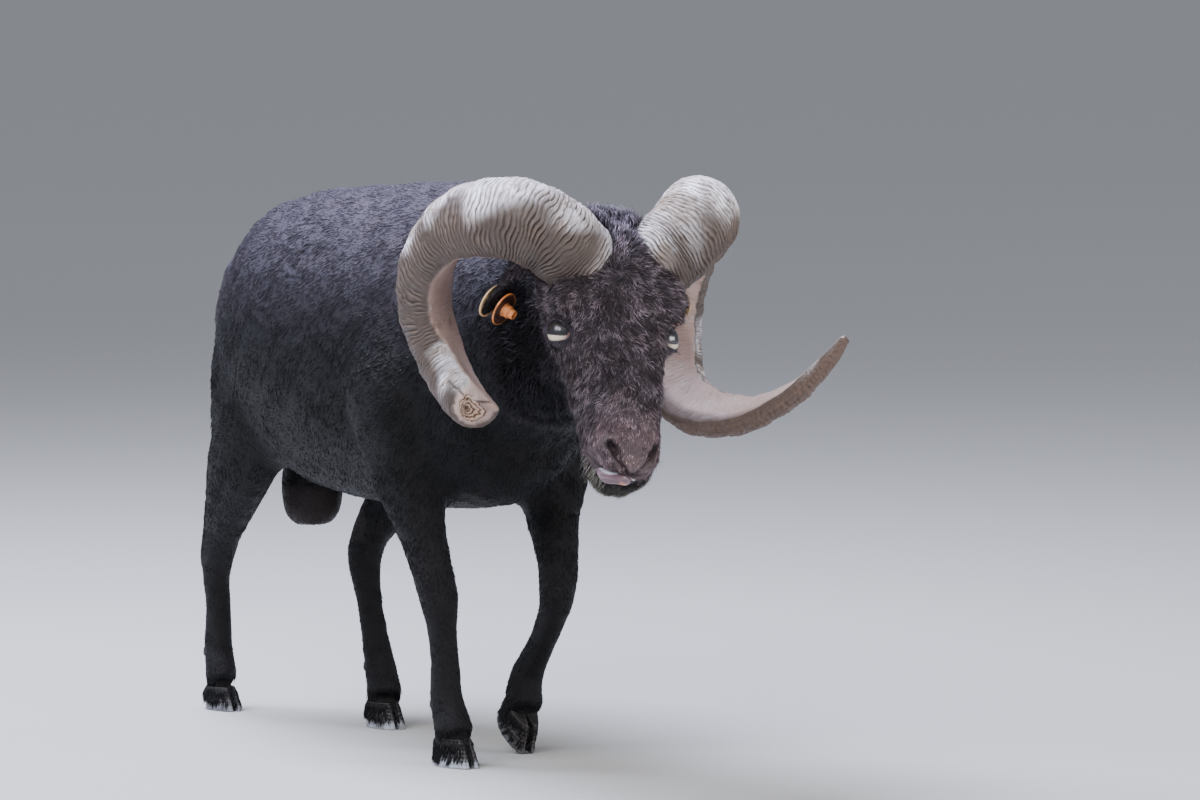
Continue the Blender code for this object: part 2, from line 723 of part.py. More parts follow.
def claw_shell(name, side):
    """One claw: pointed toe at -Y, flat inner wall, flat sole."""
    rings = []
    angle = 2 * np.pi * np.arange(CLAW_SIDES) / CLAW_SIDES
    width = np.where(np.sin(angle) < 0, CLAW_INNER_WALL, 1.0) * np.sin(angle)
    pinch = 1 - CLAW_TOE_PINCH + CLAW_TOE_PINCH * np.cos(angle)
    for level in CLAW_LEVELS:
        shrink = 1 + (CLAW_TOP_SHRINK - 1) * level
        ring = []
        for w, along, p in zip(width, np.cos(angle), pinch):
            x = side * (CLAW_SPACING + w * CLAW_WIDTH * shrink * p)
            y = along * CLAW_LENGTH / 2 * shrink + CLAW_TOP_SHIFT * level
            ring.append(Vector((x, y, CLAW_HEIGHT * level)))
        rings.append(ring)
    shell = loft(rings)
    shell.transform(foot_matrix(name))
    return shell


def dewclaw_shell(name, side):
    """A blunt little cone behind the fetlock."""
    shell = bmesh.new()
    bmesh.ops.create_cone(
        shell, cap_ends=True, segments=8, radius1=DEWCLAW_RADIUS,
        radius2=DEWCLAW_RADIUS * 0.45, depth=DEWCLAW_LENGTH,
    )
    tilt = Euler((math.radians(DEWCLAW_TILT_DEGREES), 0.0, 0.0)).to_matrix().to_4x4()
    fetlock = Vector(LEGS[name][-3][:3])
    place = fetlock + Vector((side * DEWCLAW_SPREAD, *DEWCLAW_OFFSET))
    shell.transform(Matrix.Translation(place) @ tilt)
    face_outward(shell)
    return shell


def tongue_shell():
    """A blunt tongue tip that shows between the lips, right of the middle."""
    normal = Vector(MOUTH_NORMAL)
    rings = []
    for a, b, c, half_width, half_thickness in smooth_track(TONGUE_STATIONS, 2):
        u, v = section(half_width, half_thickness, sides=10)
        rings.append([HEAD @ (Vector((a, b, c + p)) + normal * q) for p, q in zip(u, v)])
    return loft(rings)


def mouth_planes():
    """A thin wedge between the lips, from the corner forwards."""
    corner = Vector(MOUTH_CORNER)
    normal = Vector(MOUTH_NORMAL)
    return [
        head_plane(corner + normal * MOUTH_OPENING / 2, normal),
        head_plane(corner - normal * MOUTH_OPENING / 2, -normal),
        head_plane(corner, MOUTH_BACK),
    ]


def level_sole(thing, tools):
    """Trim whatever a tilted claw has below the floor."""
    boolean(thing, block("floor", [((0, 0, 0), (0, 0, 1))], 0.0, tools), "DIFFERENCE")


def centre_origin(thing, parent):
    """Move the object's origin to the middle of its box, then parent it."""
    corners = np.array([vertex.co for vertex in thing.data.vertices])
    middle = Vector((corners.min(axis=0) + corners.max(axis=0)) / 2)
    thing.data.transform(Matrix.Translation(-middle))
    thing.location = middle
    thing.parent = parent


def build():
    """Build every piece of the ram."""
    for old in list(bpy.data.objects):
        bpy.data.objects.remove(old)
    scene = bpy.context.scene.collection
    ram = bpy.data.collections.new("ram")
    tools = bpy.data.collections.new("cutters")
    scene.children.link(ram)
    scene.children.link(tools)

    pieces = part_body(join_flesh(ram), ram, tools)
    for side, label in ((-1, "right"), (1, "left")):
        stations = HORN_RIGHT if side < 0 else HORN_LEFT
        horn = new_object("horn_" + label, loft(horn_rings(stations, side)), HORN, ram)
        set_in(pieces["head"], horn, tools)
        a, b, c = EYE_PLACE
        eye = new_object("eye_" + label, ball((a, b, side * c), (EYE_RADIUS,) * 3, 12, 8), EYE, ram)
        set_in(pieces["head"], eye, tools)
        eyelids = lens(*EYE_CORNERS, EYE_OPENING_HALF_HEIGHT, EYE_OPENING_HALF_DEPTH, EYE_LOOK, side)
        boolean(pieces["head"], cutter(new_object("eyelids", eyelids, None, tools)), "DIFFERENCE")
        nostril = lens(*NOSTRIL, NOSTRIL_HALF_HEIGHT, NOSTRIL_HALF_DEPTH, NOSTRIL_LOOK, side)
        boolean(pieces["head"], cutter(new_object("nostril", nostril, None, tools)), "DIFFERENCE")
        ear = new_object("ear_" + label, loft(ear_rings(side)), FLEECE, ram)
        set_in(ear, horn, tools)
        set_in(pieces["head"], ear, tools)
        for front, finish, word in ((True, TAG_ORANGE, "front"), (False, TAG_CREAM, "back")):
            offset = TAG_SPREAD if front else -TAG_SPREAD - TAG_DISC_THICKNESS
            shell = tag_shell(side, offset, front)
            tag = new_object("tag_" + label + "_" + word, shell, finish, ram)
            set_in(ear, tag, tools)
            pieces[tag.name] = tag
        pieces.update({horn.name: horn, eye.name: eye, ear.name: ear})

    tongue = new_object("tongue", tongue_shell(), TONGUE, ram)
    for lip in ("head", "jaw"):
        boolean(pieces[lip], block("mouth", mouth_planes(), 0.0, tools), "DIFFERENCE")
        set_in(pieces[lip], tongue, tools)
    tail = new_object("tail", loft(tube_rings(TAIL_STATIONS, (0, 1, 0), 10, 2)), FLEECE, ram)
    set_in(pieces["trunk"], tail, tools)
    scrotum_rings = tube_rings(SCROTUM_STATIONS, (0, 1, 0), 12, 2)
    scrotum = new_object("scrotum", loft(scrotum_rings), FLEECE, ram)
    set_in(pieces["trunk"], scrotum, tools)

    for name in FEET:
        lower = pieces[name + "_lower"]
        for side, label in ((-1, "right"), (1, "left")):
            claw = new_object(name + "_claw_" + label, claw_shell(name, side), HOOF, ram)
            level_sole(claw, tools)
            set_in(lower, claw, tools)
            shell = dewclaw_shell(name, side)
            dewclaw = new_object(name + "_dewclaw_" + label, shell, HOOF, ram)
            set_in(lower, dewclaw, tools)

    corners = np.array([v.co for thing in ram.objects for v in thing.data.vertices])
    middle = (corners.min(axis=0) + corners.max(axis=0)) / 2
    stand = bpy.data.objects.new("ram_origin", None)
    ram.objects.link(stand)
    stand.location = (-middle[0], -middle[1], -corners[:, 2].min())
    for thing in list(ram.objects):
        if thing.type == "MESH":
            centre_origin(thing, stand)
            thing.data.shade_smooth()
            thing.data.set_sharp_from_angle(angle=math.radians(40.0))


build()
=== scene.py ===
"""A small black ram with full horns, life size, as a still museum model.

One skin stands for every node of flesh, a coat of small tufts lies on it, and
horns, eyes, claws, tongue and ear tags are pieces of their own. The ram faces
-Y, its left side is +X, and all numbers are metres unless a name says else.
"""

import json
import logging
import math
from dataclasses import dataclass, field
from enum import Enum

import bmesh
import bpy
import numpy as np
from mathutils import Euler, Matrix, Vector
from mathutils.bvhtree import BVHTree
from mathutils.kdtree import KDTree


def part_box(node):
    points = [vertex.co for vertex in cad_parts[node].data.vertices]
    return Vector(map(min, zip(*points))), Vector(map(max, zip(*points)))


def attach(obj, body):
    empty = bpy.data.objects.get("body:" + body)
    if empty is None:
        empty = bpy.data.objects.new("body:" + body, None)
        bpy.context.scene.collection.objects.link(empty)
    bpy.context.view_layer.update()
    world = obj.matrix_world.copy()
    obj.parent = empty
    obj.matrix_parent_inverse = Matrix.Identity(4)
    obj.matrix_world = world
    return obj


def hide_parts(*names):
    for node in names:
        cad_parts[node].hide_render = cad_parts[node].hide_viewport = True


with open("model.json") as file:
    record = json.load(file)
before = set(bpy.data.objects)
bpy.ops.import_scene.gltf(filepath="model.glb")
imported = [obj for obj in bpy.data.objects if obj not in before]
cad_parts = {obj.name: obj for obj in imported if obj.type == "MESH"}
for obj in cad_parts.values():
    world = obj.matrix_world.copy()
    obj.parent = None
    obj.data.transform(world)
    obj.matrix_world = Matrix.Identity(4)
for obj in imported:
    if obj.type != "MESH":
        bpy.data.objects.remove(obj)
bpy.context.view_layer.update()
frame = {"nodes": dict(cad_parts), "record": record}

logging.basicConfig(level=logging.INFO, format="%(levelname)s %(message)s")
LOG = logging.getLogger("ram")
Array = np.ndarray
BMesh = bmesh.types.BMesh
Material = bpy.types.Material
Node = bpy.types.Node
NodeTree = bpy.types.NodeTree
Socket = bpy.types.NodeSocket
Thing = bpy.types.Object
SEED = 20


# Small tools


def smoothstep(low: float, high: float, value: Array) -> Array:
    """0 below low, 1 above high and a smooth rise between (low may exceed high)."""
    t = np.clip((value - low) / (high - low), 0.0, 1.0)
    return t * t * (3 - 2 * t)


def bell(distance: Array, width: float) -> Array:
    """A Gaussian hump of height one."""
    return np.exp(-((distance / width) ** 2))


def blended(value: Array | float, *steps: tuple) -> Array:
    """A value taken to each step's goal by the step's share, in turn."""
    for goal, share in steps:
        value = value + (goal - value) * share
    return value


def unit(vectors: Array) -> Array:
    """Vectors along the last axis at length one."""
    return vectors / np.maximum(np.linalg.norm(vectors, axis=-1, keepdims=True), 1e-12)


def dot(a: Array, b: Array) -> Array:
    """Dot products along the last axis."""
    return np.sum(a * b, axis=-1)


def waves(points: Array, wavelength: float, seed: int, terms: int = 9) -> Array:
    """Smooth noise of about -1 to 1 from a few slanted waves."""
    rng = np.random.default_rng(seed)
    total = np.zeros(len(points))
    for _ in range(terms):
        way = unit(rng.normal(size=3)) * 2 * np.pi / (wavelength * rng.uniform(0.6, 1.7))
        total += np.sin(points @ way + rng.uniform(0, 2 * np.pi))
    return total / math.sqrt(terms / 1.2)


def track(stations: tuple, spacing: float) -> Array:
    """Rows of a smooth curve through stations, evenly spaced along its length."""
    rows = np.array(stations, float)
    padded = np.vstack([2 * rows[0] - rows[1], rows, 2 * rows[-1] - rows[-2]])
    fine = []
    for i in range(len(rows) - 1):
        before, start, end, after = padded[i:i + 4]
        t = (np.arange(40) / 40)[:, None]
        bend = 2 * before - 5 * start + 4 * end - after
        lift = 3 * start - before - 3 * end + after
        fine.append(start + 0.5 * ((end - before) * t + bend * t * t + lift * t ** 3))
    fine = np.vstack(fine + [rows[-1:]])
    arc = np.concatenate([[0.0], np.cumsum(np.linalg.norm(np.diff(fine[:, :3], axis=0), axis=1))])
    even = np.linspace(0.0, arc[-1], max(int(arc[-1] / spacing), 4) + 1)
    return np.stack([np.interp(even, arc, fine[:, k]) for k in range(fine.shape[1])], axis=1)


def nodes_with(slot: str) -> list[str]:
    """Names of the CAD nodes that the record gives a material slot."""
    return [row["node"] for row in frame["record"]["subparts"] if row["material_slot"] == slot]


def make_object(name: str, points: Array, faces: Array, smooth: bool = True) -> Thing:
    """An object at the origin from arrays of points and of triangles or quads."""
    mesh = bpy.data.meshes.new(name)
    sides = faces.shape[1]
    mesh.vertices.add(len(points))
    mesh.vertices.foreach_set("co", points.astype(np.float32).ravel())
    mesh.loops.add(faces.size)
    mesh.loops.foreach_set("vertex_index", faces.astype(np.int32).ravel())
    mesh.polygons.add(len(faces))
    mesh.polygons.foreach_set("loop_start", np.arange(0, faces.size, sides, dtype=np.int32))
    mesh.update(calc_edges=True)
    mesh.polygons.foreach_set("use_smooth", np.full(len(faces), smooth))
    thing = bpy.data.objects.new(name, mesh)
    bpy.context.scene.collection.objects.link(thing)
    return thing


def store(thing: Thing, name: str, values: Array) -> None:
    """Keep one number or one vector for each vertex as a named attribute."""
    kind, key = ("FLOAT", "value") if values.ndim == 1 else ("FLOAT_VECTOR", "vector")
    attribute = thing.data.attributes.new(name, kind, "POINT")
    attribute.data.foreach_set(key, values.astype(np.float32).ravel())


def bake_map(thing: Thing, flat: Array, faces: Array) -> None:
    """Lay the points' places on a piece's map for baking."""
    layer = thing.data.uv_layers.new(name="OFBake")
    layer.data.foreach_set("uv", flat[faces.ravel()].astype(np.float32).ravel())


def move_to(thing: Thing, points: Array) -> None:
    """Give a piece's vertices new places."""
    thing.data.vertices.foreach_set("co", points.astype(np.float32).ravel())
    thing.data.update()


def arrays(mesh: bpy.types.Mesh) -> tuple[Array, Array]:
    """Points and triangles of a mesh."""
    points = np.zeros(len(mesh.vertices) * 3, np.float32)
    mesh.vertices.foreach_get("co", points)
    mesh.calc_loop_triangles()
    faces = np.zeros(len(mesh.loop_triangles) * 3, np.int32)
    mesh.loop_triangles.foreach_get("vertices", faces)
    return points.reshape(-1, 3).astype(float), faces.reshape(-1, 3)


def arrays_of(shell: BMesh) -> tuple[Array, Array]:
    """Points and triangles of a bmesh, which is then freed."""
    part = bpy.data.meshes.new("part")
    shell.to_mesh(part)
    shell.free()
    points, faces = arrays(part)
    bpy.data.meshes.remove(part)
    return points, faces


def joined(parts: list[tuple[Array, Array]]) -> tuple[Array, Array]:
    """Points and triangles of several parts as those of one."""
    starts = np.cumsum([0] + [len(points) for points, _ in parts])
    faces = [faces + start for (_, faces), start in zip(parts, starts)]
    return np.vstack([points for points, _ in parts]), np.vstack(faces)


def vertex_normals(points: Array, faces: Array) -> Array:
    """Area weighted normals of the vertices."""
    a, b, c = (points[faces[:, k]] for k in range(3))
    face = np.cross(b - a, c - a)
    total = np.zeros_like(points)
    for k in range(3):
        for axis in range(3):
            total[:, axis] += np.bincount(faces[:, k], face[:, axis], len(points))
    return unit(total)


def relax(points: Array, faces: Array, rounds: int, weight: Array | float) -> Array:
    """Points moved towards the mean of their neighbours, round by round."""
    pairs = np.vstack([faces[:, [0, 1]], faces[:, [1, 2]], faces[:, [2, 0]]])
    pairs = np.unique(np.sort(pairs, axis=1), axis=0)
    count = np.bincount(pairs.ravel(), minlength=len(points))[:, None]
    share = weight if np.isscalar(weight) else weight[:, None]
    for _ in range(rounds):
        total = np.zeros_like(points)
        for axis in range(3):
            total[:, axis] += np.bincount(pairs[:, 0], points[pairs[:, 1], axis], len(points))
            total[:, axis] += np.bincount(pairs[:, 1], points[pairs[:, 0], axis], len(points))
        points = points + share * (total / count - points)
    return points


def merged_copy(node: str, grow: float) -> BMesh:
    """A copy of a CAD node's mesh with joined corners, grown along its normals."""
    shell = bmesh.new()
    shell.from_mesh(frame["nodes"][node].data)
    bmesh.ops.remove_doubles(shell, verts=shell.verts, dist=1e-5)
    shell.normal_update()
    for vertex in shell.verts:
        vertex.co += vertex.normal * grow
    return shell


def circle(sides: int) -> Array:
    """Even angles round a section."""
    return 2 * np.pi * np.arange(sides) / sides


def quads(rings: int, sides: int) -> Array:
    """Faces of a tube of rings that close round it."""
    i, j = np.meshgrid(np.arange(rings - 1), np.arange(sides), indexing="ij")
    k = (j + 1) % sides
    corners = [i * sides + j, i * sides + k, (i + 1) * sides + k, (i + 1) * sides + j]
    return np.stack(corners, -1).reshape(-1, 4)


def tube(rings: Array) -> tuple[Array, Array]:
    """Points and triangles of a closed tube over rings of shape (rings, sides, 3)."""
    count, sides = rings.shape[:2]
    points = np.vstack([rings.reshape(-1, 3), rings[0].mean(0), rings[-1].mean(0)])
    face = quads(count, sides)
    j = np.arange(sides)
    k = (j + 1) % sides
    first, end = np.full(sides, count * sides), (count - 1) * sides
    caps = [np.stack([first, k, j], -1), np.stack([first + 1, end + j, end + k], -1)]
    faces = np.vstack([face[:, [0, 1, 2]], face[:, [0, 2, 3]], *caps])
    a, b, c = (points[faces[:, n]] for n in range(3))
    if np.sum(dot(a, np.cross(b, c))) < 0:
        faces = faces[:, ::-1]
    return points, faces


# Where things are


@dataclass(frozen=True)
class HeadAxes:
    """Axes of the head: a runs from poll to nose, b to the throat, c to its left."""

    poll: tuple = (-0.002, -0.412, 0.448)
    slope_degrees: float = 59.8
    turn_degrees: float = -9.0
    tilt_degrees: float = 5.0
    eye_place: tuple = (0.0800, 0.0340, 0.0390)

    @property
    def basis(self) -> Array:
        """Rows a, b and c in the model's axes."""
        slope = math.radians(self.slope_degrees)
        turn = Euler((0.0, math.radians(self.tilt_degrees), math.radians(self.turn_degrees))).to_matrix()
        down, out = math.sin(slope), math.cos(slope)
        return np.array([turn @ Vector(row) for row in ((0, -out, -down), (0, down, -out), (1, 0, 0))])

    @property
    def shift(self) -> Array:
        """From the drawing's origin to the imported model's, read off an eye."""
        low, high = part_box("eye_right")
        a, b, c = self.eye_place
        return np.array((low + high) / 2) - np.array(self.poll) - np.array((a, b, -c)) @ self.basis

    def world(self, local: Array) -> Array:
        """Head coordinates to model coordinates."""
        return np.asarray(local, float) @ self.basis + np.array(self.poll) + self.shift

    def local(self, points: Array) -> Array:
        """Model coordinates to head coordinates."""
        return (points - np.array(self.poll) - self.shift) @ self.basis.T


HEAD = HeadAxes()
SHIFT = HEAD.shift
BASIS = HEAD.basis


@dataclass(frozen=True)
class EyeSetting:
    """The opening between the lids, in head coordinates of the left side."""

    ball: tuple = (0.0798, 0.0343, 0.0410)
    radius: float = 0.0125
    medial: tuple = (0.0874, 0.0198, 0.0460)
    lateral: tuple = (0.0738, 0.0381, 0.0584)
    above: float = 0.0088
    below: float = 0.0082

    def axes(self, side: int) -> tuple[Array, Array]:
        """Centre of the ball and rows (to the nose, up, gaze) in model axes.

        Args:
            side: 1 for the ram's left, -1 for its right.
        """
        mirror = np.array((1.0, 1.0, side))
        centre = HEAD.world(np.array(self.ball) * mirror)
        medial = HEAD.world(np.array(self.medial) * mirror)
        lateral = HEAD.world(np.array(self.lateral) * mirror)
        gaze = unit((medial + lateral) / 2 - centre)
        along = medial - lateral
        along = unit(along - dot(along, gaze) * gaze)
        up = np.cross(gaze, along) * -side
        return centre, np.stack([along, up if up[2] > 0 else -up, gaze])

    def ring(self, u: Array, v: Array) -> Array:
        """Distance from the opening's middle, 1 at the lids' edge."""
        high = self.below + (self.above - self.below) * smoothstep(-0.003, 0.003, v)
        return np.hypot(u / self.half_width, v / high)

    def lid_height(self, u: Array, v: Array, least: float) -> Array:
        """Height over the ball's centre at which the lids lie."""
        flatness = 0.60 + 0.36 * smoothstep(0.003, 0.011, u)
        return np.sqrt(np.maximum(self.radius ** 2 - flatness * u ** 2 - v ** 2, least))

    @property
    def half_width(self) -> float:
        """Half the length of the opening, corner to corner."""
        return float(np.linalg.norm(np.array(self.medial) - np.array(self.lateral)) / 2)


EYES = EyeSetting()

MOUTH_CORNER = np.array((0.173, 0.0500, 0.0))
MOUTH_NORMAL = np.array((-0.603, -0.798, 0.0))
MOUTH_FORWARD = np.array((0.798, -0.603, 0.0))
VIEW_RIGHT = np.array((0.891, -0.454, 0.0))
VIEW_UP = np.array((0.032, 0.063, 0.997))
VIEW_BACK = np.array((-0.452, -0.889, 0.07))
NOSTRIL = np.array((
    (0.2056, 0.0250, 0.0008), (0.2036, 0.0195, 0.0058), (0.1995, 0.0158, 0.0105),
    (0.1945, 0.0130, 0.0140), (0.1895, 0.0118, 0.0162), (0.1858, 0.0125, 0.0185),
))
WHORL = np.array((0.043, -0.0075, -0.003))
EAR_ROOT = np.array((0.012, 0.038, 0.050))
EAR_TIP = np.array((0.047, 0.089, 0.0945))
EAR_LEFT_SHIFT = np.array((-0.020, 0.018, -0.009))

HORN_RIGHT = (
    (-0.0155, -0.406, 0.409, 0.017), (-0.025, -0.407, 0.417, 0.027), (-0.038, -0.407, 0.428, 0.032),
    (-0.06, -0.404, 0.445, 0.034), (-0.085, -0.386, 0.455, 0.0345), (-0.106, -0.345, 0.447, 0.032),
    (-0.1135, -0.308, 0.417, 0.0285), (-0.109, -0.291, 0.38, 0.0265), (-0.0995, -0.298, 0.346, 0.0252),
    (-0.0985, -0.3285, 0.321, 0.025), (-0.1025, -0.366, 0.308, 0.0232),
)
HORN_LEFT = (
    (0.0185, -0.409, 0.405, 0.017), (0.028, -0.409, 0.413, 0.027), (0.041, -0.408, 0.424, 0.032),
    (0.062, -0.404, 0.44, 0.0335), (0.086, -0.384, 0.454, 0.0332), (0.104, -0.345, 0.449, 0.03),
    (0.11, -0.308, 0.418, 0.027), (0.1115, -0.288, 0.38, 0.0255), (0.1115, -0.287, 0.342, 0.025),
    (0.1085, -0.302, 0.313, 0.024), (0.1115, -0.337, 0.295, 0.0218), (0.1285, -0.38, 0.294, 0.017),
    (0.15, -0.415, 0.312, 0.013), (0.1685, -0.44, 0.338, 0.0095), (0.1787, -0.454, 0.3575, 0.0052),
)
FEET = {
    "foreleg_right": ((-0.044, -0.209, 0.0), 0.0, 6.0, 1.0),
    "foreleg_left": ((0.040, -0.147, 0.0150), 45.0, 4.0, 1.0),
    "hindleg_right": ((-0.059, 0.232, 0.0), 0.0, 6.0, 0.88),
    "hindleg_left": ((0.014, 0.052, 0.0), 0.0, 2.0, 0.96),
}


def head_chart(local: Array) -> Array:
    """Where head coordinates lie on the coat's map: an unrolled tube from poll to nose."""
    a, b, c = local.T
    turn = np.arctan2(c, 0.05 - b) / (2 * np.pi) + 0.5
    return np.stack([0.02 + 0.46 * turn, 0.56 + 0.40 * (a + 0.05) / 0.27], 1)


def foot_axes(name: str) -> Array:
    """A foot's axes in the model, as a 4 x 4 matrix."""
    place, pitch, turn, size = FEET[name]
    swing = Euler((math.radians(pitch), 0.0, math.radians(turn))).to_matrix().to_4x4()
    return np.array(Matrix.Translation(Vector(place) + Vector(SHIFT)) @ swing @ Matrix.Scale(size, 4))


class Zones:
    """Soft shares of the body's regions at a set of points."""

    FAR = 9.0

    def __init__(self, points: Array) -> None:
        """Work out every share once.

        Args:
            points: Places in the model's axes, shape (n, 3).
        """
        self.points = points
        self.drawn = points - SHIFT
        self.local = HEAD.local(points)
        a, b, c = self.local.T
        x, y, z = self.drawn.T
        self.head = smoothstep(0.012, -0.010, (a - 0.020) * -0.62 + (b - 0.118) * 0.78)
        near = []
        for side in (-1, 1):
            mirror = np.array((1.0, 1.0, side))
            shift = EAR_LEFT_SHIFT if side > 0 else 0.0
            root, tip = (EAR_ROOT + shift) * mirror, (EAR_TIP + shift) * mirror
            t = np.clip((self.local - root) @ (tip - root) / dot(tip - root, tip - root), 0, 1.1)
            away = np.linalg.norm(self.local - root - t[:, None] * (tip - root), axis=1)
            near.append(smoothstep(0.022, 0.017, away) * smoothstep(0.15, 0.35, t))
        self.ear_right, self.ear_left = near
        self.ear = np.maximum(*near)
        self.leg = smoothstep(0.27, 0.17, z) * (1 - self.head)
        self.shank = smoothstep(0.17, 0.12, z) * (1 - self.head)
        self.tail = (
            smoothstep(0.246, 0.262, y) * smoothstep(0.026, 0.020, np.abs(x)) * smoothstep(0.27, 0.29, z)
        )
        self.scrotum = (
            smoothstep(0.206, 0.196, z) * smoothstep(0.044, 0.036, np.abs(x))
            * smoothstep(0.128, 0.134, y) * smoothstep(0.226, 0.216, y) * smoothstep(0.150, 0.156, z)
        )
        self.muzzle = self.head * smoothstep(0.140, 0.180, a)
        self.throat = self.head * smoothstep(0.062, 0.090, b + 0.25 * np.abs(c)) * (1 - self.muzzle)
        self.crest = self.head * bell(a + 0.008, 0.026) * bell(c, 0.036) * smoothstep(0.05, 0.02, b)
        self.eye_ring = self.rings_round_eyes()
        self.mouth = (self.local - MOUTH_CORNER) @ MOUTH_NORMAL
        self.mouth_forward = (self.local - MOUTH_CORNER) @ MOUTH_FORWARD
        self.nostril, self.nostril_share = self.nostril_distance()
        self.chin = self.muzzle * smoothstep(-0.002, -0.007, self.mouth)
        self.lip = self.muzzle * (1 - self.chin)
        self.hoof, self.hoof_way = self.round_hooves()

    def round_hooves(self) -> tuple[Array, Array]:
        """Share of the hair rim over each hoof, and the way down the foot."""
        share, way = np.zeros(len(self.points)), np.tile((0.0, 0.0, -1.0), (len(self.points), 1))
        for name in FEET:
            axes = foot_axes(name)
            local = (self.points - axes[:3, 3]) @ np.linalg.inv(axes[:3, :3]).T
            here = smoothstep(0.040, 0.028, local[:, 2]) * (np.hypot(local[:, 0], local[:, 1]) < 0.040)
            here = here * (local[:, 2] > -0.005)
            share = np.maximum(share, here)
            way[here > 0] = -unit(axes[:3, 2])
        return share, way

    def rings_round_eyes(self) -> Array:
        """Distance from the eye opening: 0 at its middle, 1 at the lid's edge."""
        nearest = np.full(len(self.points), self.FAR)
        for side in (-1, 1):
            centre, axes = EYES.axes(side)
            u, v, w = ((self.points - centre) @ axes.T).T
            nearest = np.minimum(nearest, np.where(w > 0.002, EYES.ring(u, v), self.FAR))
        return nearest

    def nostril_distance(self) -> tuple[Array, Array]:
        """Distance to the nearer nostril's crease, and the place along it."""
        best, share = np.full(len(self.points), 1.0), np.zeros(len(self.points))
        near = self.local[:, 0] > 0.15
        if near.any():
            spots = self.local[near] * np.where(self.local[near, 2:] < 0, (1, 1, -1), (1, 1, 1))
            slit = track(tuple(map(tuple, NOSTRIL)), 0.0006)
            gaps = np.linalg.norm(spots[:, None] - slit, axis=2)
            best[near] = gaps.min(1)
            share[near] = gaps.argmin(1) / (len(slit) - 1)
        return best, share


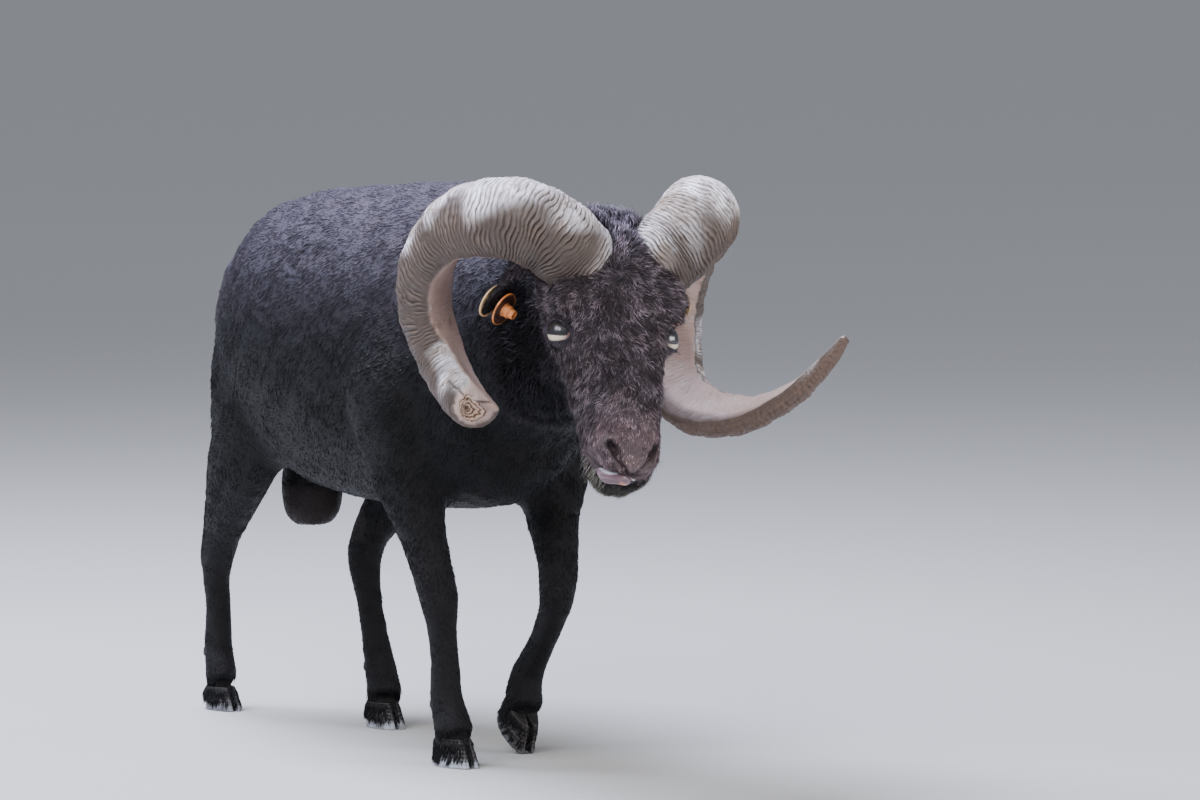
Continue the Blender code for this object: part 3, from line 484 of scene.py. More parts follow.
class Markings:
    """The colours of skin and coat, shared by both."""

    BODY = (0.0048, 0.0042, 0.0066)
    # Painted sheen: a light bluish grey laid on the back, rump and poll, as if lit from above.
    SADDLE = (0.0980, 0.0860, 0.1220)
    # Painted shade: near black laid under the trunk.
    BELLY = (0.0014, 0.0012, 0.0016)
    LEG = (0.0056, 0.0050, 0.0062)
    # Partly the face's own colour, partly painted highlight on the face's hair.
    FACE = (0.0880, 0.0700, 0.0800)
    MUZZLE = (0.1500, 0.1060, 0.1150)
    NOSE = (0.1900, 0.1500, 0.1560)
    # Painted shade: near black laid in the nostril slits.
    NOSTRIL = (0.0060, 0.0040, 0.0050)
    LID = (0.0660, 0.0540, 0.0720)
    INNER_CORNER = (0.1500, 0.0650, 0.0450)
    SCROTUM = (0.0220, 0.0150, 0.0140)
    CHIN = (0.1400, 0.1300, 0.0700)
    # Painted shade: dark laid below the mouth line, on the chin and lower jaw.
    JAW = (0.0300, 0.0270, 0.0250)
    FLECK = (0.5500, 0.5000, 0.4600)
    FACE_FLECK = (0.0640, 0.0040, -0.0330)
    FLECKS = ((-0.1031, 0.0250, 0.4270), (-0.1080, 0.0280, 0.4130))

    @classmethod
    def colour(cls, zones: Zones) -> Array:
        """Colours at the zones' points, shape (n, 3)."""
        a, b, c = zones.local.T
        z = zones.drawn[:, 2]
        tint = np.tile(np.array(cls.BODY), (len(a), 1))

        def paint(colour: tuple, share: Array) -> None:
            """Lay a colour over the tint by its share."""
            tint[:] += (np.array(colour) - tint) * np.clip(share, 0, 1)[:, None]

        mottle = 0.5 + 0.5 * waves(zones.points, 0.030, 3)
        high = z + 0.075 * smoothstep(0.12, 0.25, zones.drawn[:, 1])
        # The lower trunk is painted near black: painted shade under the body.
        paint(cls.BELLY, smoothstep(0.36, 0.27, z) * (1 - zones.head))
        # The back and rump, above the height in high, are painted lighter and bluish: painted sheen of the
        # light from above.
        paint(cls.SADDLE, smoothstep(0.33, 0.475, high) * (1 - zones.head) * (0.92 + 0.08 * mottle))
        paint(cls.LEG, zones.leg)
        paint(cls.SCROTUM, zones.scrotum)
        # The face colour is laid strongest on the front of the face and weaker towards the throat and the
        # poll: partly its own colour, partly painted highlight on the hair.
        side = smoothstep(0.060, 0.030, b) * (0.30 + 0.70 * smoothstep(-0.01, 0.05, a))
        paint(cls.FACE, zones.head * (1 - zones.throat) * (0.75 + 0.25 * mottle) * (0.52 + 0.48 * side))
        # The poll gets the same painted sheen.
        paint(cls.SADDLE, 0.8 * np.clip(zones.crest, 0, 1) * zones.head)
        # The muzzle's own brownish pink is laid strongest on top and weaker on its sides: painted light from
        # above, with painted shade on the sides.
        paint(cls.MUZZLE, zones.lip * (0.62 + 0.38 * mottle) * (0.35 + 0.65 * smoothstep(0.045, 0.022, b)))
        # The chin below the mouth line is painted dark: painted shade under the jaw.
        paint(cls.JAW, zones.chin)
        paint(cls.CHIN, 0.55 * bell(a - 0.197, 0.010) * bell(b - 0.068, 0.010) * zones.head)
        nose = zones.head * bell(np.hypot(a - 0.202, b - 0.017), 0.011) * bell(c, 0.010)
        paint(cls.NOSE, 0.75 * nose)
        lips = zones.head * smoothstep(-0.004, 0.006, zones.mouth_forward) * bell(zones.mouth, 0.0022)
        paint(cls.MUZZLE, 0.5 * lips)
        # The nostril slits are painted near black, darkest where they are deepest: painted shade inside the
        # nostrils.
        deep = smoothstep(0.45, 0.70, zones.nostril_share)
        dark = (0.75 + 0.2 * deep) * (1 - 0.45 * smoothstep(0.0, 0.004, c) * (1 - deep))
        slit = bell(np.maximum(zones.nostril - 0.0008 - 0.0006 * deep, 0), 0.0011 + 0.0012 * deep)
        paint(cls.NOSTRIL, 1.3 * dark * slit)
        for spot in cls.FLECKS:
            paint(cls.FLECK, 0.9 * bell(np.linalg.norm(zones.drawn - spot, axis=1), 0.0034))
        paint(cls.FLECK, 0.5 * bell(np.linalg.norm(zones.local - cls.FACE_FLECK, axis=1), 0.0026))
        paint(cls.LID, bell(np.maximum(zones.eye_ring - 1.0, 0), 0.26))
        for side in (-1, 1):
            corner = HEAD.world(np.array(EYES.medial) * (1, 1, side))
            away = np.linalg.norm(zones.points - corner, axis=1)
            paint(cls.INNER_CORNER, 0.8 * bell(away, 0.0034) * (zones.eye_ring < 1.1))
        return tint


# Shaders


class Shader:
    """A Principled material that is wired up by named steps."""

    def __init__(self, name: str, **constants: float | tuple) -> None:
        """Make the material and set constant inputs of its shader.

        Args:
            name: The material's name.
            constants: Values of the shader's inputs, spaces written as underscores.
        """
        self.material = bpy.data.materials.new(name)
        self.material.use_nodes = True
        self.tree = self.material.node_tree
        self.shader = self.tree.nodes["Principled BSDF"]
        for key, value in constants.items():
            self.shader.inputs[key.replace("_", " ")].default_value = value

    def node(self, kind: str, **settings: object) -> Node:
        """Add a node and set its properties or inputs by name."""
        return add_node(self.tree, kind, **settings)

    def attribute(self, name: str, output: str = "Fac") -> Socket:
        """The value of a mesh attribute."""
        return self.node("ShaderNodeAttribute", attribute_name=name).outputs[output]

    def group(self, group: NodeTree, **inputs: object) -> Node:
        """Add a node group and feed it."""
        made = self.node("ShaderNodeGroup")
        made.node_tree = group
        feed(self.tree, made, inputs)
        return made

    def own(self, label: str) -> dict[str, Socket]:
        """A piece's place, and its marking under a group's label."""
        return {"Place": self.objects_place(), label: self.attribute("marking", "Color")}

    def objects_place(self) -> Socket:
        """Object coordinates."""
        return self.node("ShaderNodeTexCoord").outputs["Object"]

    def link(self, source: Socket, target: str) -> None:
        """Wire a socket into the shader's named input."""
        self.tree.links.new(source, self.shader.inputs[target])

    def wired(self, group: Node, strength: float, distance: float) -> Material:
        """Wire a group's colour, roughness and height into the shader.

        Args:
            group: The node group.
            strength: The bump's strength.
            distance: The bump's height in metres.
        """
        bump = self.node("ShaderNodeBump")
        feed(self.tree, bump, {"Strength": strength, "Distance": distance, "Height": group.outputs["Height"]})
        self.link(group.outputs["Color"], "Base Color")
        self.link(group.outputs["Roughness"], "Roughness")
        self.link(bump.outputs["Normal"], "Normal")
        return self.material


def add_node(tree: NodeTree, kind: str, **settings: object) -> Node:
    """Add a node and set the properties that it has."""
    node = tree.nodes.new(kind)
    for key, value in settings.items():
        setattr(node, key, value)
    return node


def feed(tree: NodeTree, node: Node, inputs: dict) -> None:
    """Link sockets to, or set values of, a node's inputs, by number or by name."""
    for key, value in inputs.items():
        socket = node.inputs[key if isinstance(key, int) else key.replace("_", " ")]
        if isinstance(value, Socket):
            tree.links.new(value, socket)
        else:
            socket.default_value = value


class GroupMaker:
    """Builds a shader node group from named inputs, steps and outputs."""

    def __init__(self, name: str, inputs: dict[str, tuple], outputs: dict[str, str]) -> None:
        """Open the group.

        Args:
            name: The group's name.
            inputs: For each input its socket kind and default value.
            outputs: For each output its socket kind.
        """
        self.tree = bpy.data.node_groups.new(name, "ShaderNodeTree")
        for label, (kind, value) in inputs.items():
            socket = self.tree.interface.new_socket(label, in_out="INPUT", socket_type="NodeSocket" + kind)
            socket.default_value = value
        for label, kind in outputs.items():
            self.tree.interface.new_socket(label, in_out="OUTPUT", socket_type="NodeSocket" + kind)
        self.source = self.tree.nodes.new("NodeGroupInput")
        self.sink = self.tree.nodes.new("NodeGroupOutput")

    def input(self, label: str) -> Socket:
        """A named input inside the group."""
        return self.source.outputs[label]

    def output(self, label: str, socket: Socket) -> None:
        """Wire a socket to a named output."""
        self.tree.links.new(socket, self.sink.inputs[label])

    def maths(self, operation: str, *values: object, kind: str = "Math") -> Socket:
        """A maths step."""
        node = add_node(self.tree, "ShaderNode" + kind, operation=operation)
        feed(self.tree, node, dict(enumerate(values)))
        return node.outputs[0]

    def times(self, first: object, *others: object) -> Socket:
        """Numbers multiplied in turn."""
        for other in others:
            first = self.maths("MULTIPLY", first, other)
        return first

    def plus(self, first: object, second: object) -> Socket:
        """Two numbers added."""
        return self.maths("ADD", first, second)

    def stretched(self, place: object, *factors: float) -> Socket:
        """A place or colour times three numbers."""
        return self.maths("MULTIPLY", place, factors, kind="VectorMath")

    def noise(
        self, place: object, scale: float, detail: float = 3.0, rough: float = 0.55,
    ) -> Socket:
        """A noise step of about 0 to 1."""
        node = add_node(self.tree, "ShaderNodeTexNoise")
        feed(self.tree, node, {"Vector": place, "Scale": scale, "Detail": detail, "Roughness": rough})
        return node.outputs[0]

    def spread(
        self, value: object, low: float, high: float, to_low: float = 0.0, to_high: float = 1.0,
    ) -> Socket:
        """A value taken smoothly from one range to another."""
        node = add_node(self.tree, "ShaderNodeMapRange", interpolation_type="SMOOTHSTEP")
        feed(self.tree, node, dict(enumerate((value, low, high, to_low, to_high))))
        return node.outputs[0]

    def mix(self, share: object, first: object, second: object) -> Socket:
        """Two colours mixed, each a socket or three numbers."""
        node = add_node(self.tree, "ShaderNodeMix", data_type="RGBA")
        colours = [(*colour, 1.0) if isinstance(colour, tuple) else colour for colour in (first, second)]
        feed(self.tree, node, dict(zip((0, 6, 7), (share, *colours))))
        return node.outputs[2]

    def noise_mix(self, place: object, scale: float, first: tuple, second: tuple) -> Socket:
        """Two colours mixed by a noise."""
        return self.mix(self.noise(place, scale), first, second)

    def scaled(self, colour: object, factor: object) -> Socket:
        """A colour times a number."""
        node = add_node(self.tree, "ShaderNodeVectorMath", operation="SCALE")
        feed(self.tree, node, {0: colour, "Scale": factor})
        return node.outputs[0]


LOOK = {"Color": "Color", "Roughness": "Float", "Height": "Float"}
PLACE = ("Vector", (0, 0, 0))


def fleece_group() -> NodeTree:
    """Shades fleece from its marking colour, its tuft's tone and the place along it."""
    g = GroupMaker(
        "FleeceTone",
        {"Place": PLACE, "Marking": ("Color", (0.02, 0.02, 0.02, 1)),
         "Tone": ("Float", 0.5), "Along": ("Float", 0.5)},
        LOOK,
    )
    place = g.input("Place")
    broad = g.spread(g.noise(place, 34.0), 0.3, 0.7, 0.88, 1.12)
    fine = g.spread(g.noise(place, 420.0, 4.0, 0.7), 0.25, 0.75, 0.80, 1.22)
    own = g.plus(g.times(g.maths("POWER", g.input("Tone"), 3.0), 2.9), 0.42)
    # Darker at the root and lighter at the tip: partly the hair's own lighter tips, partly painted shade deep
    # in the coat and painted highlight on the tips.
    tip = g.spread(g.input("Along"), 0.0, 1.0, 0.45, 1.25)
    light = g.times(broad, fine, g.times(own, tip))
    shaded = g.scaled(g.input("Marking"), light)
    rusty = g.spread(g.noise(place, 60.0, 2.0), 0.45, 0.80, 0.0, 0.25)
    g.output("Color", g.mix(rusty, shaded, g.stretched(shaded, 1.45, 1.05, 0.82)))
    g.output("Roughness", g.spread(g.input("Tone"), 0.0, 1.0, 0.62, 0.36))
    hair = g.noise(place, 1500.0, 3.0, 0.8)
    g.output("Height", g.plus(hair, g.noise(place, 520.0, 2.0)))
    return g.tree


def horn_group() -> NodeTree:
    """Shades horn: pale crests where it faces up (painted top light), painted shade on its sides and
    underside, lighter ridge lips (painted highlight), dark grooves, a pinkish flat face and stains.
    """
    g = GroupMaker(
        "HornWeather",
        {"Place": PLACE, "Groove": ("Float", 0.0), "Crown": ("Float", 1.0),
         "Ridge": ("Float", 0.0), "Toplight": ("Float", 0.5), "Core": ("Float", 0.0), "Under": ("Float", 0.0)},
        LOOK,
    )
    place = g.input("Place")
    # Dark browns where the horn faces sideways or down are painted shade; the pale bluish crest mixed in
    # where it faces up, by Toplight, is painted top light.
    shaded_side = g.noise_mix(place, 30.0, (0.050, 0.036, 0.030), (0.140, 0.104, 0.086))
    pale = g.spread(g.noise(place, 26.0), 0.35, 0.65)
    crest = g.mix(pale, (0.380, 0.310, 0.270), (0.760, 0.730, 0.780))
    crest = g.mix(g.spread(g.noise(place, 85.0, 4.0), 0.46, 0.68), crest, (0.920, 0.910, 1.000))
    crest = g.mix(g.input("Toplight"), shaded_side, crest)
    flat = g.noise_mix(place, 40.0, (0.680, 0.440, 0.370), (0.880, 0.680, 0.610))
    flat = g.mix(g.spread(g.noise(place, 110.0, 5.0), 0.55, 0.75), flat, (0.760, 0.680, 0.650))
    colour = g.mix(g.input("Crown"), flat, crest)
    stain = g.spread(g.noise(place, 48.0, 5.0, 0.65), 0.56, 0.74, 0.0, 0.50)
    colour = g.mix(stain, colour, (0.200, 0.120, 0.075))
    striae = g.noise(g.stretched(place, 110.0, 110.0, 1050.0), 1.0, 3.0, 0.6)
    share = g.spread(g.input("Crown"), 0.0, 1.0, 0.25, 1.0)
    fine = g.times(g.spread(striae, 0.47, 0.66, 0.0, 0.72), share)
    colour = g.mix(fine, colour, (0.100, 0.072, 0.060))
    # Each ring's raised lip is painted lighter: painted highlight.
    colour = g.scaled(colour, g.spread(g.input("Ridge"), 0.0, 1.0, 0.74, 1.75))
    colour = g.mix(g.times(g.input("Groove"), 0.88), colour, (0.026, 0.018, 0.015))
    streak = g.noise(g.stretched(place, 420.0, 420.0, 30.0), 1.0, 3.0, 0.6)
    # Painted shade: dark brown with streaks where the horn faces down.
    lower = g.mix(streak, (0.030, 0.019, 0.015), (0.190, 0.120, 0.088))
    colour = g.mix(g.input("Under"), colour, lower)
    years = g.plus(g.times(g.input("Core"), 40.0), g.times(g.noise(place, 170.0), 13.0))
    rings = g.maths("SINE", years)
    core = g.mix(g.spread(rings, -1.0, 1.0), (0.110, 0.050, 0.026), (0.540, 0.390, 0.300))
    core = g.mix(g.spread(g.input("Core"), 0.90, 0.95), core, (0.090, 0.045, 0.025))
    ragged = g.plus(g.input("Core"), g.spread(g.noise(place, 130.0), 0.3, 0.7, -0.12, 0.12))
    g.output("Color", g.mix(g.spread(ragged, 0.34, 0.50), colour, core))
    g.output("Roughness", g.spread(g.noise(place, 120.0), 0.3, 0.7, 0.42, 0.68))
    cracks = g.noise(g.stretched(place, 120.0, 120.0, 900.0), 1.0, 4.0, 0.7)
    g.output("Height", g.plus(cracks, g.times(striae, 0.7)))
    return g.tree


def wear_group() -> NodeTree:
    """Shades worn hoof horn and plastic: layers, scuffs and dirt."""
    g = GroupMaker(
        "LayeredWear",
        {"Place": PLACE, "Base": ("Color", (0.2, 0.2, 0.2, 1)),
         "Dirt": ("Color", (0.08, 0.06, 0.05, 1)), "Layers": ("Float", 0.0), "Amount": ("Float", 0.5)},
        LOOK,
    )
    place = g.input("Place")
    layers = g.noise(g.stretched(place, 90.0, 90.0, 900.0), 1.0, 3.0)
    blotch = g.noise(place, 90.0, 5.0, 0.65)
    colour = g.scaled(g.input("Base"), g.spread(layers, 0.3, 0.7, 0.78, 1.18))
    share = g.times(g.spread(blotch, 0.46, 0.70), g.input("Amount"))
    g.output("Color", g.mix(share, colour, g.input("Dirt")))
    g.output("Roughness", g.spread(blotch, 0.3, 0.7, 0.32, 0.62))
    grain = g.times(g.noise(place, 900.0, 3.0), 0.4)
    g.output("Height", g.plus(grain, g.times(layers, g.input("Layers"))))
    return g.tree


class Finish(Enum):
    """The finishes of the ram's pieces, each with its material slot."""

    SKIN = ("skin", "black_fleece")
    COAT = ("coat", "black_fleece")
    HORN = ("horn", "horn_keratin")
    EYE = ("eye", "eye_amber")
    HOOF = ("hoof", "hoof_keratin")
    TONGUE = ("tongue", "tongue_flesh")
    ORANGE = ("orange", "tag_orange")
    CREAM = ("cream", "tag_cream")
    FLOOR = ("floor", "")


class Finishes:
    """Makes each material once, from shared node groups."""

    def __init__(self) -> None:
        """Build the shared groups."""
        self.fleece = fleece_group()
        self.horn = horn_group()
        self.wear = wear_group()
        self.made: dict[Finish, Material] = {}

    def dress(self, thing: Thing, finish: Finish) -> None:
        """Give a piece its only material."""
        if finish not in self.made:
            self.made[finish] = getattr(self, "make_" + finish.value[0])()
        thing.data.materials.append(self.made[finish])

    def finish(self, thing: Thing, finish: Finish, *nodes: str) -> None:
        """Dress a piece with its material, let it ride on the body and stand for CAD nodes."""
        self.dress(thing, finish)
        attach(thing, "root")
        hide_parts(*nodes)
        LOG.info("%s: %d faces", thing.name, len(thing.data.polygons))

    def make_skin(self) -> Material:
        """Skin under the coat, with a nap of very short hair."""
        s = Shader(
            "RamSkin", Specular_IOR_Level=0.18, Sheen_Weight=0.02, Sheen_Roughness=0.45,
            Sheen_Tint=(0.75, 0.78, 1.0, 1.0),
        )
        return s.wired(s.group(self.fleece, **s.own("Marking"), Tone=0.4, Along=0.75), 0.8, 0.0008)

    def make_coat(self) -> Material:
        """Tufts of fleece and hair."""
        s = Shader(
            "RamCoat", Specular_IOR_Level=0.22, Sheen_Weight=0.02, Sheen_Roughness=0.35,
            Sheen_Tint=(0.72, 0.76, 1.0, 1.0),
        )
        tufts = {"Tone": s.attribute("tone"), "Along": s.attribute("along")}
        return s.wired(s.group(self.fleece, **s.own("Marking"), **tufts), 0.35, 0.0004)

    def make_horn(self) -> Material:
        """Ridged horn."""
        s = Shader("RamHorn", Specular_IOR_Level=0.40)
        shares = {name.capitalize(): s.attribute(name) for name in Horn.SHARES}
        return s.wired(s.group(self.horn, Place=s.attribute("wrap", "Vector"), **shares), 0.55, 0.0006)

    def make_hoof(self) -> Material:
        """Blue grey hoof horn with fine layers."""
        s = Shader("RamHoof", Specular_IOR_Level=0.30)
        return s.wired(self.worn(s, (0.050, 0.042, 0.038, 1.0), 1.0, 0.7), 0.5, 0.0006)

    def make_tongue(self) -> Material:
        """Wet tongue, mauve red below, with a pale bluish painted wet highlight on its rim."""
        s = Shader("RamTongue", Specular_IOR_Level=0.5, Coat_Weight=0.5, Coat_Roughness=0.12)
        return s.wired(self.worn(s, (0.26, 0.14, 0.16, 1.0), 0.2, 0.35), 0.5, 0.0004)

    def make_eye(self) -> Material:
        """Cream iris with fine rays, a level pupil and a clear wet front."""
        s = Shader("RamEye", Specular_IOR_Level=0.5, Coat_Weight=1.0, Coat_Roughness=0.015, Coat_IOR=1.42)
        g = GroupMaker("IrisAndPupil", {"Gaze": ("Vector", (0, 0, 1))}, LOOK)
        gaze = g.input("Gaze")
        split = add_node(g.tree, "ShaderNodeSeparateXYZ")
        feed(g.tree, split, {0: gaze})
        x, y = split.outputs[0], split.outputs[1]
        radius = g.maths("SQRT", g.plus(g.maths("POWER", x, 2.0), g.maths("POWER", y, 2.0)))
        ray_place = add_node(g.tree, "ShaderNodeCombineXYZ")
        feed(g.tree, ray_place, {0: g.times(g.maths("ARCTAN2", y, x), 14.0), 1: g.times(radius, 5.0)})
        rays = g.noise(ray_place.outputs[0], 1.6, 4.0, 0.6)
        iris = g.mix(rays, (0.380, 0.300, 0.200), (0.800, 0.720, 0.560))
        iris = g.mix(g.spread(radius, 0.70, 0.90), iris, (0.300, 0.220, 0.160))
        white = g.noise_mix(gaze, 9.0, (0.120, 0.060, 0.045), (0.220, 0.140, 0.110))
        colour = g.mix(g.spread(radius, 0.86, 0.92), iris, white)
        wide = g.maths("ABSOLUTE", g.maths("DIVIDE", g.maths("SUBTRACT", x, 0.16), 0.74))
        high = g.maths("ABSOLUTE", g.maths("DIVIDE", g.plus(y, 0.04), 0.25))
        shape = g.plus(g.maths("POWER", wide, 4.0), g.maths("POWER", high, 2.6))
        pupil = g.spread(g.plus(shape, g.times(g.noise(gaze, 12.0), 0.08)), 0.90, 1.22, 1.0, 0.0)
        # The iris is darkened above the pupil: painted shade under the upper lid.
        colour = g.mix(g.spread(y, -0.04, 0.08), colour, (0.010, 0.008, 0.009))
        g.output("Color", g.mix(pupil, colour, (0.006, 0.006, 0.010)))
        g.output("Roughness", g.spread(rays, 0.2, 0.8, 0.30, 0.45))
        g.output("Height", rays)
        return s.wired(s.group(g.tree, Gaze=s.attribute("gaze", "Vector")), 0.15, 0.0003)

    def make_orange(self) -> Material:
        """Orange tag plastic."""
        return self.plastic("TagOrange", (0.080, 0.032, 0.018, 1.0), 0.60)

    def make_cream(self) -> Material:
        """Cream tag plastic."""
        return self.plastic("TagCream", (0.160, 0.100, 0.060, 1.0), 0.55)

    def plastic(self, name: str, dirt: tuple, amount: float) -> Material:
        """Satin plastic with scuffs and dirt."""
        s = Shader(name, Specular_IOR_Level=0.5)
        return s.wired(self.worn(s, dirt, 0.1, amount), 0.25, 0.0003)

    def worn(self, s: Shader, dirt: tuple, layers: float, amount: float) -> Node:
        """The shared wear over a piece's own colour."""
        return s.group(self.wear, **s.own("Base"), Dirt=dirt, Layers=layers, Amount=amount)

    def make_floor(self) -> Material:
        """Plain pale studio floor."""
        s = Shader("Floor", Specular_IOR_Level=0.2, Roughness=0.8)
        g = GroupMaker("PlainFloor", {"Place": PLACE}, {"Color": "Color"})
        away = add_node(g.tree, "ShaderNodeVectorMath", operation="LENGTH")
        feed(g.tree, away, {0: g.input("Place")})
        far = g.spread(away.outputs["Value"], 1.0, 9.0)
        g.output("Color", g.mix(far, (0.50, 0.50, 0.49), (0.92, 0.92, 0.92)))
        group = s.group(g.tree, Place=s.objects_place())
        s.link(group.outputs["Color"], "Base Color")
        return s.material


# The ram's pieces


@dataclass
class Skin:
    """One closed skin over the whole body, inside the CAD flesh by the coat's depth."""

    voxel: float = 0.0030
    grow: float = 0.0004
    claw_shrink: float = 0.0012
    eye_shrink: float = 0.0004
    horn_scale: float = 0.86
    horn_rings: int = 9
    body_depth: float = 0.0030
    leg_depth: float = 0.0016
    face_depth: float = 0.0022
    throat_depth: float = 0.0062
    crest_depth: float = 0.0056
    nose_depth: float = 0.0008
    ear_depth: float = 0.0012
    tail_depth: float = 0.0030
    scrotum_depth: float = 0.0020
    lid_depth: float = 0.0010
    body_triangles: int = 40000

    def build(self) -> Thing:
        """Model the skin and keep its arrays for the coat."""
        thing = self.remeshed()
        points, faces = arrays(thing.data)
        zones = Zones(points)
        points = relax(points, faces, 9, 0.5 * (1 - 0.86 * zones.head) * (1 - 0.8 * zones.ear))
        move_to(thing, points)
        self.thin_body(thing)
        for level in range(3):
            self.refine(thing, level)
        points, faces = arrays(thing.data)
        points = relax(points, faces, 5, 0.4 * Zones(points).head)
        points = self.inset(points, faces)
        points = self.sculpt(points, faces)
        bpy.data.objects.remove(thing)
        thing = make_object("skin", points, faces)
        self.points, self.faces = points, faces
        self.normals = vertex_normals(points, faces)
        self.zones = Zones(points)
        return thing

    def remeshed(self) -> Thing:
        """All flesh in one mesh, with sockets filled by shrunken neighbours."""
        parts = []
        for names, grow in (
            (nodes_with("black_fleece"), self.grow),
            (nodes_with("hoof_keratin") + nodes_with("tongue_flesh"), -self.claw_shrink),
            (nodes_with("eye_amber"), -self.eye_shrink),
        ):
            for name in names:
                shell = merged_copy(name, grow)
                if name == "scrotum":
                    self.taper(shell)
                parts.append(arrays_of(shell))
        for side, stations in ((-1, HORN_RIGHT), (1, HORN_LEFT)):
            horn = Horn("filler", side, stations, spacing=0.004, sides=24)
            parts.append(tube(horn.rings(scale=self.horn_scale)[:self.horn_rings]))
        thing = make_object("skin_draft", *joined(parts))
        remesh = thing.modifiers.new("remesh", "REMESH")
        remesh.mode = "VOXEL"
        remesh.voxel_size = self.voxel
        self.apply(thing)
        self.keep_outer(thing)
        return thing

    @staticmethod
    def taper(shell: BMesh) -> None:
        """Draw the lower part of a shell in, clear of the legs beside it."""
        points = np.array([vert.co for vert in shell.verts])
        low, high = points[:, 2].min(), points[:, 2].max()
        middle = points.mean(0)
        for vert in shell.verts:
            share = 0.80 + 0.16 * (vert.co.z - low) / (high - low)
            vert.co.x = middle[0] + (vert.co.x - middle[0]) * share
            vert.co.y = middle[1] + (vert.co.y - middle[1]) * share

    @staticmethod
    def apply(thing: Thing) -> None:
        """Bake a piece's modifiers into its mesh."""
        baked = bpy.data.meshes.new_from_object(thing.evaluated_get(bpy.context.evaluated_depsgraph_get()))
        thing.modifiers.clear()
        old, thing.data = thing.data, baked
        bpy.data.meshes.remove(old)

    @staticmethod
    def keep_outer(thing: Thing) -> None:
        """Drop inner shells, so that only the outer one stays."""
        shell = bmesh.new()
        shell.from_mesh(thing.data)
        left, islands = set(shell.verts), []
        while left:
            front = [left.pop()]
            island = list(front)
            while front:
                for edge in front.pop().link_edges:
                    for other in edge.verts:
                        if other in left:
                            left.remove(other)
                            front.append(other)
                            island.append(other)
            islands.append(island)
        for island in sorted(islands, key=len)[:-1]:
            bmesh.ops.delete(shell, geom=island, context="VERTS")
        shell.to_mesh(thing.data)
        shell.free()

    def thin_body(self, thing: Thing) -> None:
        """Fewer faces on the body, none lost on head, ears and feet."""
        points, faces = arrays(thing.data)
        zones = Zones(points)
        share = (1 - zones.head) * (1 - 0.8 * zones.shank)
        group = thing.vertex_groups.new(name="body")
        for level in range(1, 11):
            chosen = np.nonzero(np.round(share * 10) == level)[0]
            group.add(chosen.tolist(), level / 10, "REPLACE")
        count = len(faces)
        inside = int(np.sum(share[faces].mean(1) > 0.5))
        thin = thing.modifiers.new("thin", "DECIMATE")
        thin.vertex_group = "body"
        thin.ratio = max((count - inside + self.body_triangles) / count, 0.05)
        self.apply(thing)
        thing.vertex_groups.clear()

    def refine(self, thing: Thing, level: int) -> None:
        """Split the faces of the head, then of the face's details, then round the eyes."""
        zones = Zones(arrays(thing.data)[0])
        a, b, _ = zones.local.T
        if level == 0:
            wanted = (zones.head > 0.5) & (a > 0.04) & (b < 0.066)
        elif level == 1:
            wanted = (zones.eye_ring < 2.2) | ((zones.muzzle > 0.6) & (b < 0.064) & (a > 0.172))
        else:
            wanted = ((zones.eye_ring < 1.5) & (zones.eye_ring > 0.5)) | (zones.nostril < 0.0055)
        shell = bmesh.new()
        shell.from_mesh(thing.data)
        shell.verts.ensure_lookup_table()
        edges = [edge for edge in shell.edges if wanted[edge.verts[0].index] and wanted[edge.verts[1].index]]
        bmesh.ops.subdivide_edges(shell, edges=edges, cuts=1, use_grid_fill=True)
        bmesh.ops.triangulate(shell, faces=shell.faces)
        shell.to_mesh(thing.data)
        shell.free()
        points, faces = arrays(thing.data)
        zones = Zones(points)
        share = 0.35 * zones.head * (zones.eye_ring > 0.9)
        move_to(thing, relax(points, faces, 2, share))

    def depth(self, zones: Zones) -> Array:
        """The coat's depth at the zones' points."""
        return blended(
            self.body_depth, (self.leg_depth, zones.leg), (self.face_depth, zones.head),
            (self.throat_depth, zones.throat), (self.crest_depth, np.clip(zones.crest, 0, 1)),
            (self.nose_depth, smoothstep(0.6, 1.0, zones.muzzle)), (self.ear_depth, zones.ear),
            (self.tail_depth, zones.tail), (self.scrotum_depth, zones.scrotum),
            (self.lid_depth, smoothstep(1.6, 1.2, zones.eye_ring)),
        )

    def inset(self, points: Array, faces: Array) -> Array:
        """The points moved in by the coat's depth."""
        moved = points - vertex_normals(points, faces) * self.depth(Zones(points))[:, None]
        return relax(moved, faces, 2, 0.3)

    def sculpt(self, points: Array, faces: Array) -> Array:
        """Lids, nostrils, lips, folds and the hollows of the face."""
        points = self.face_forms(points, faces)
        for side in (-1, 1):
            points = self.lids(points, side)
        return points

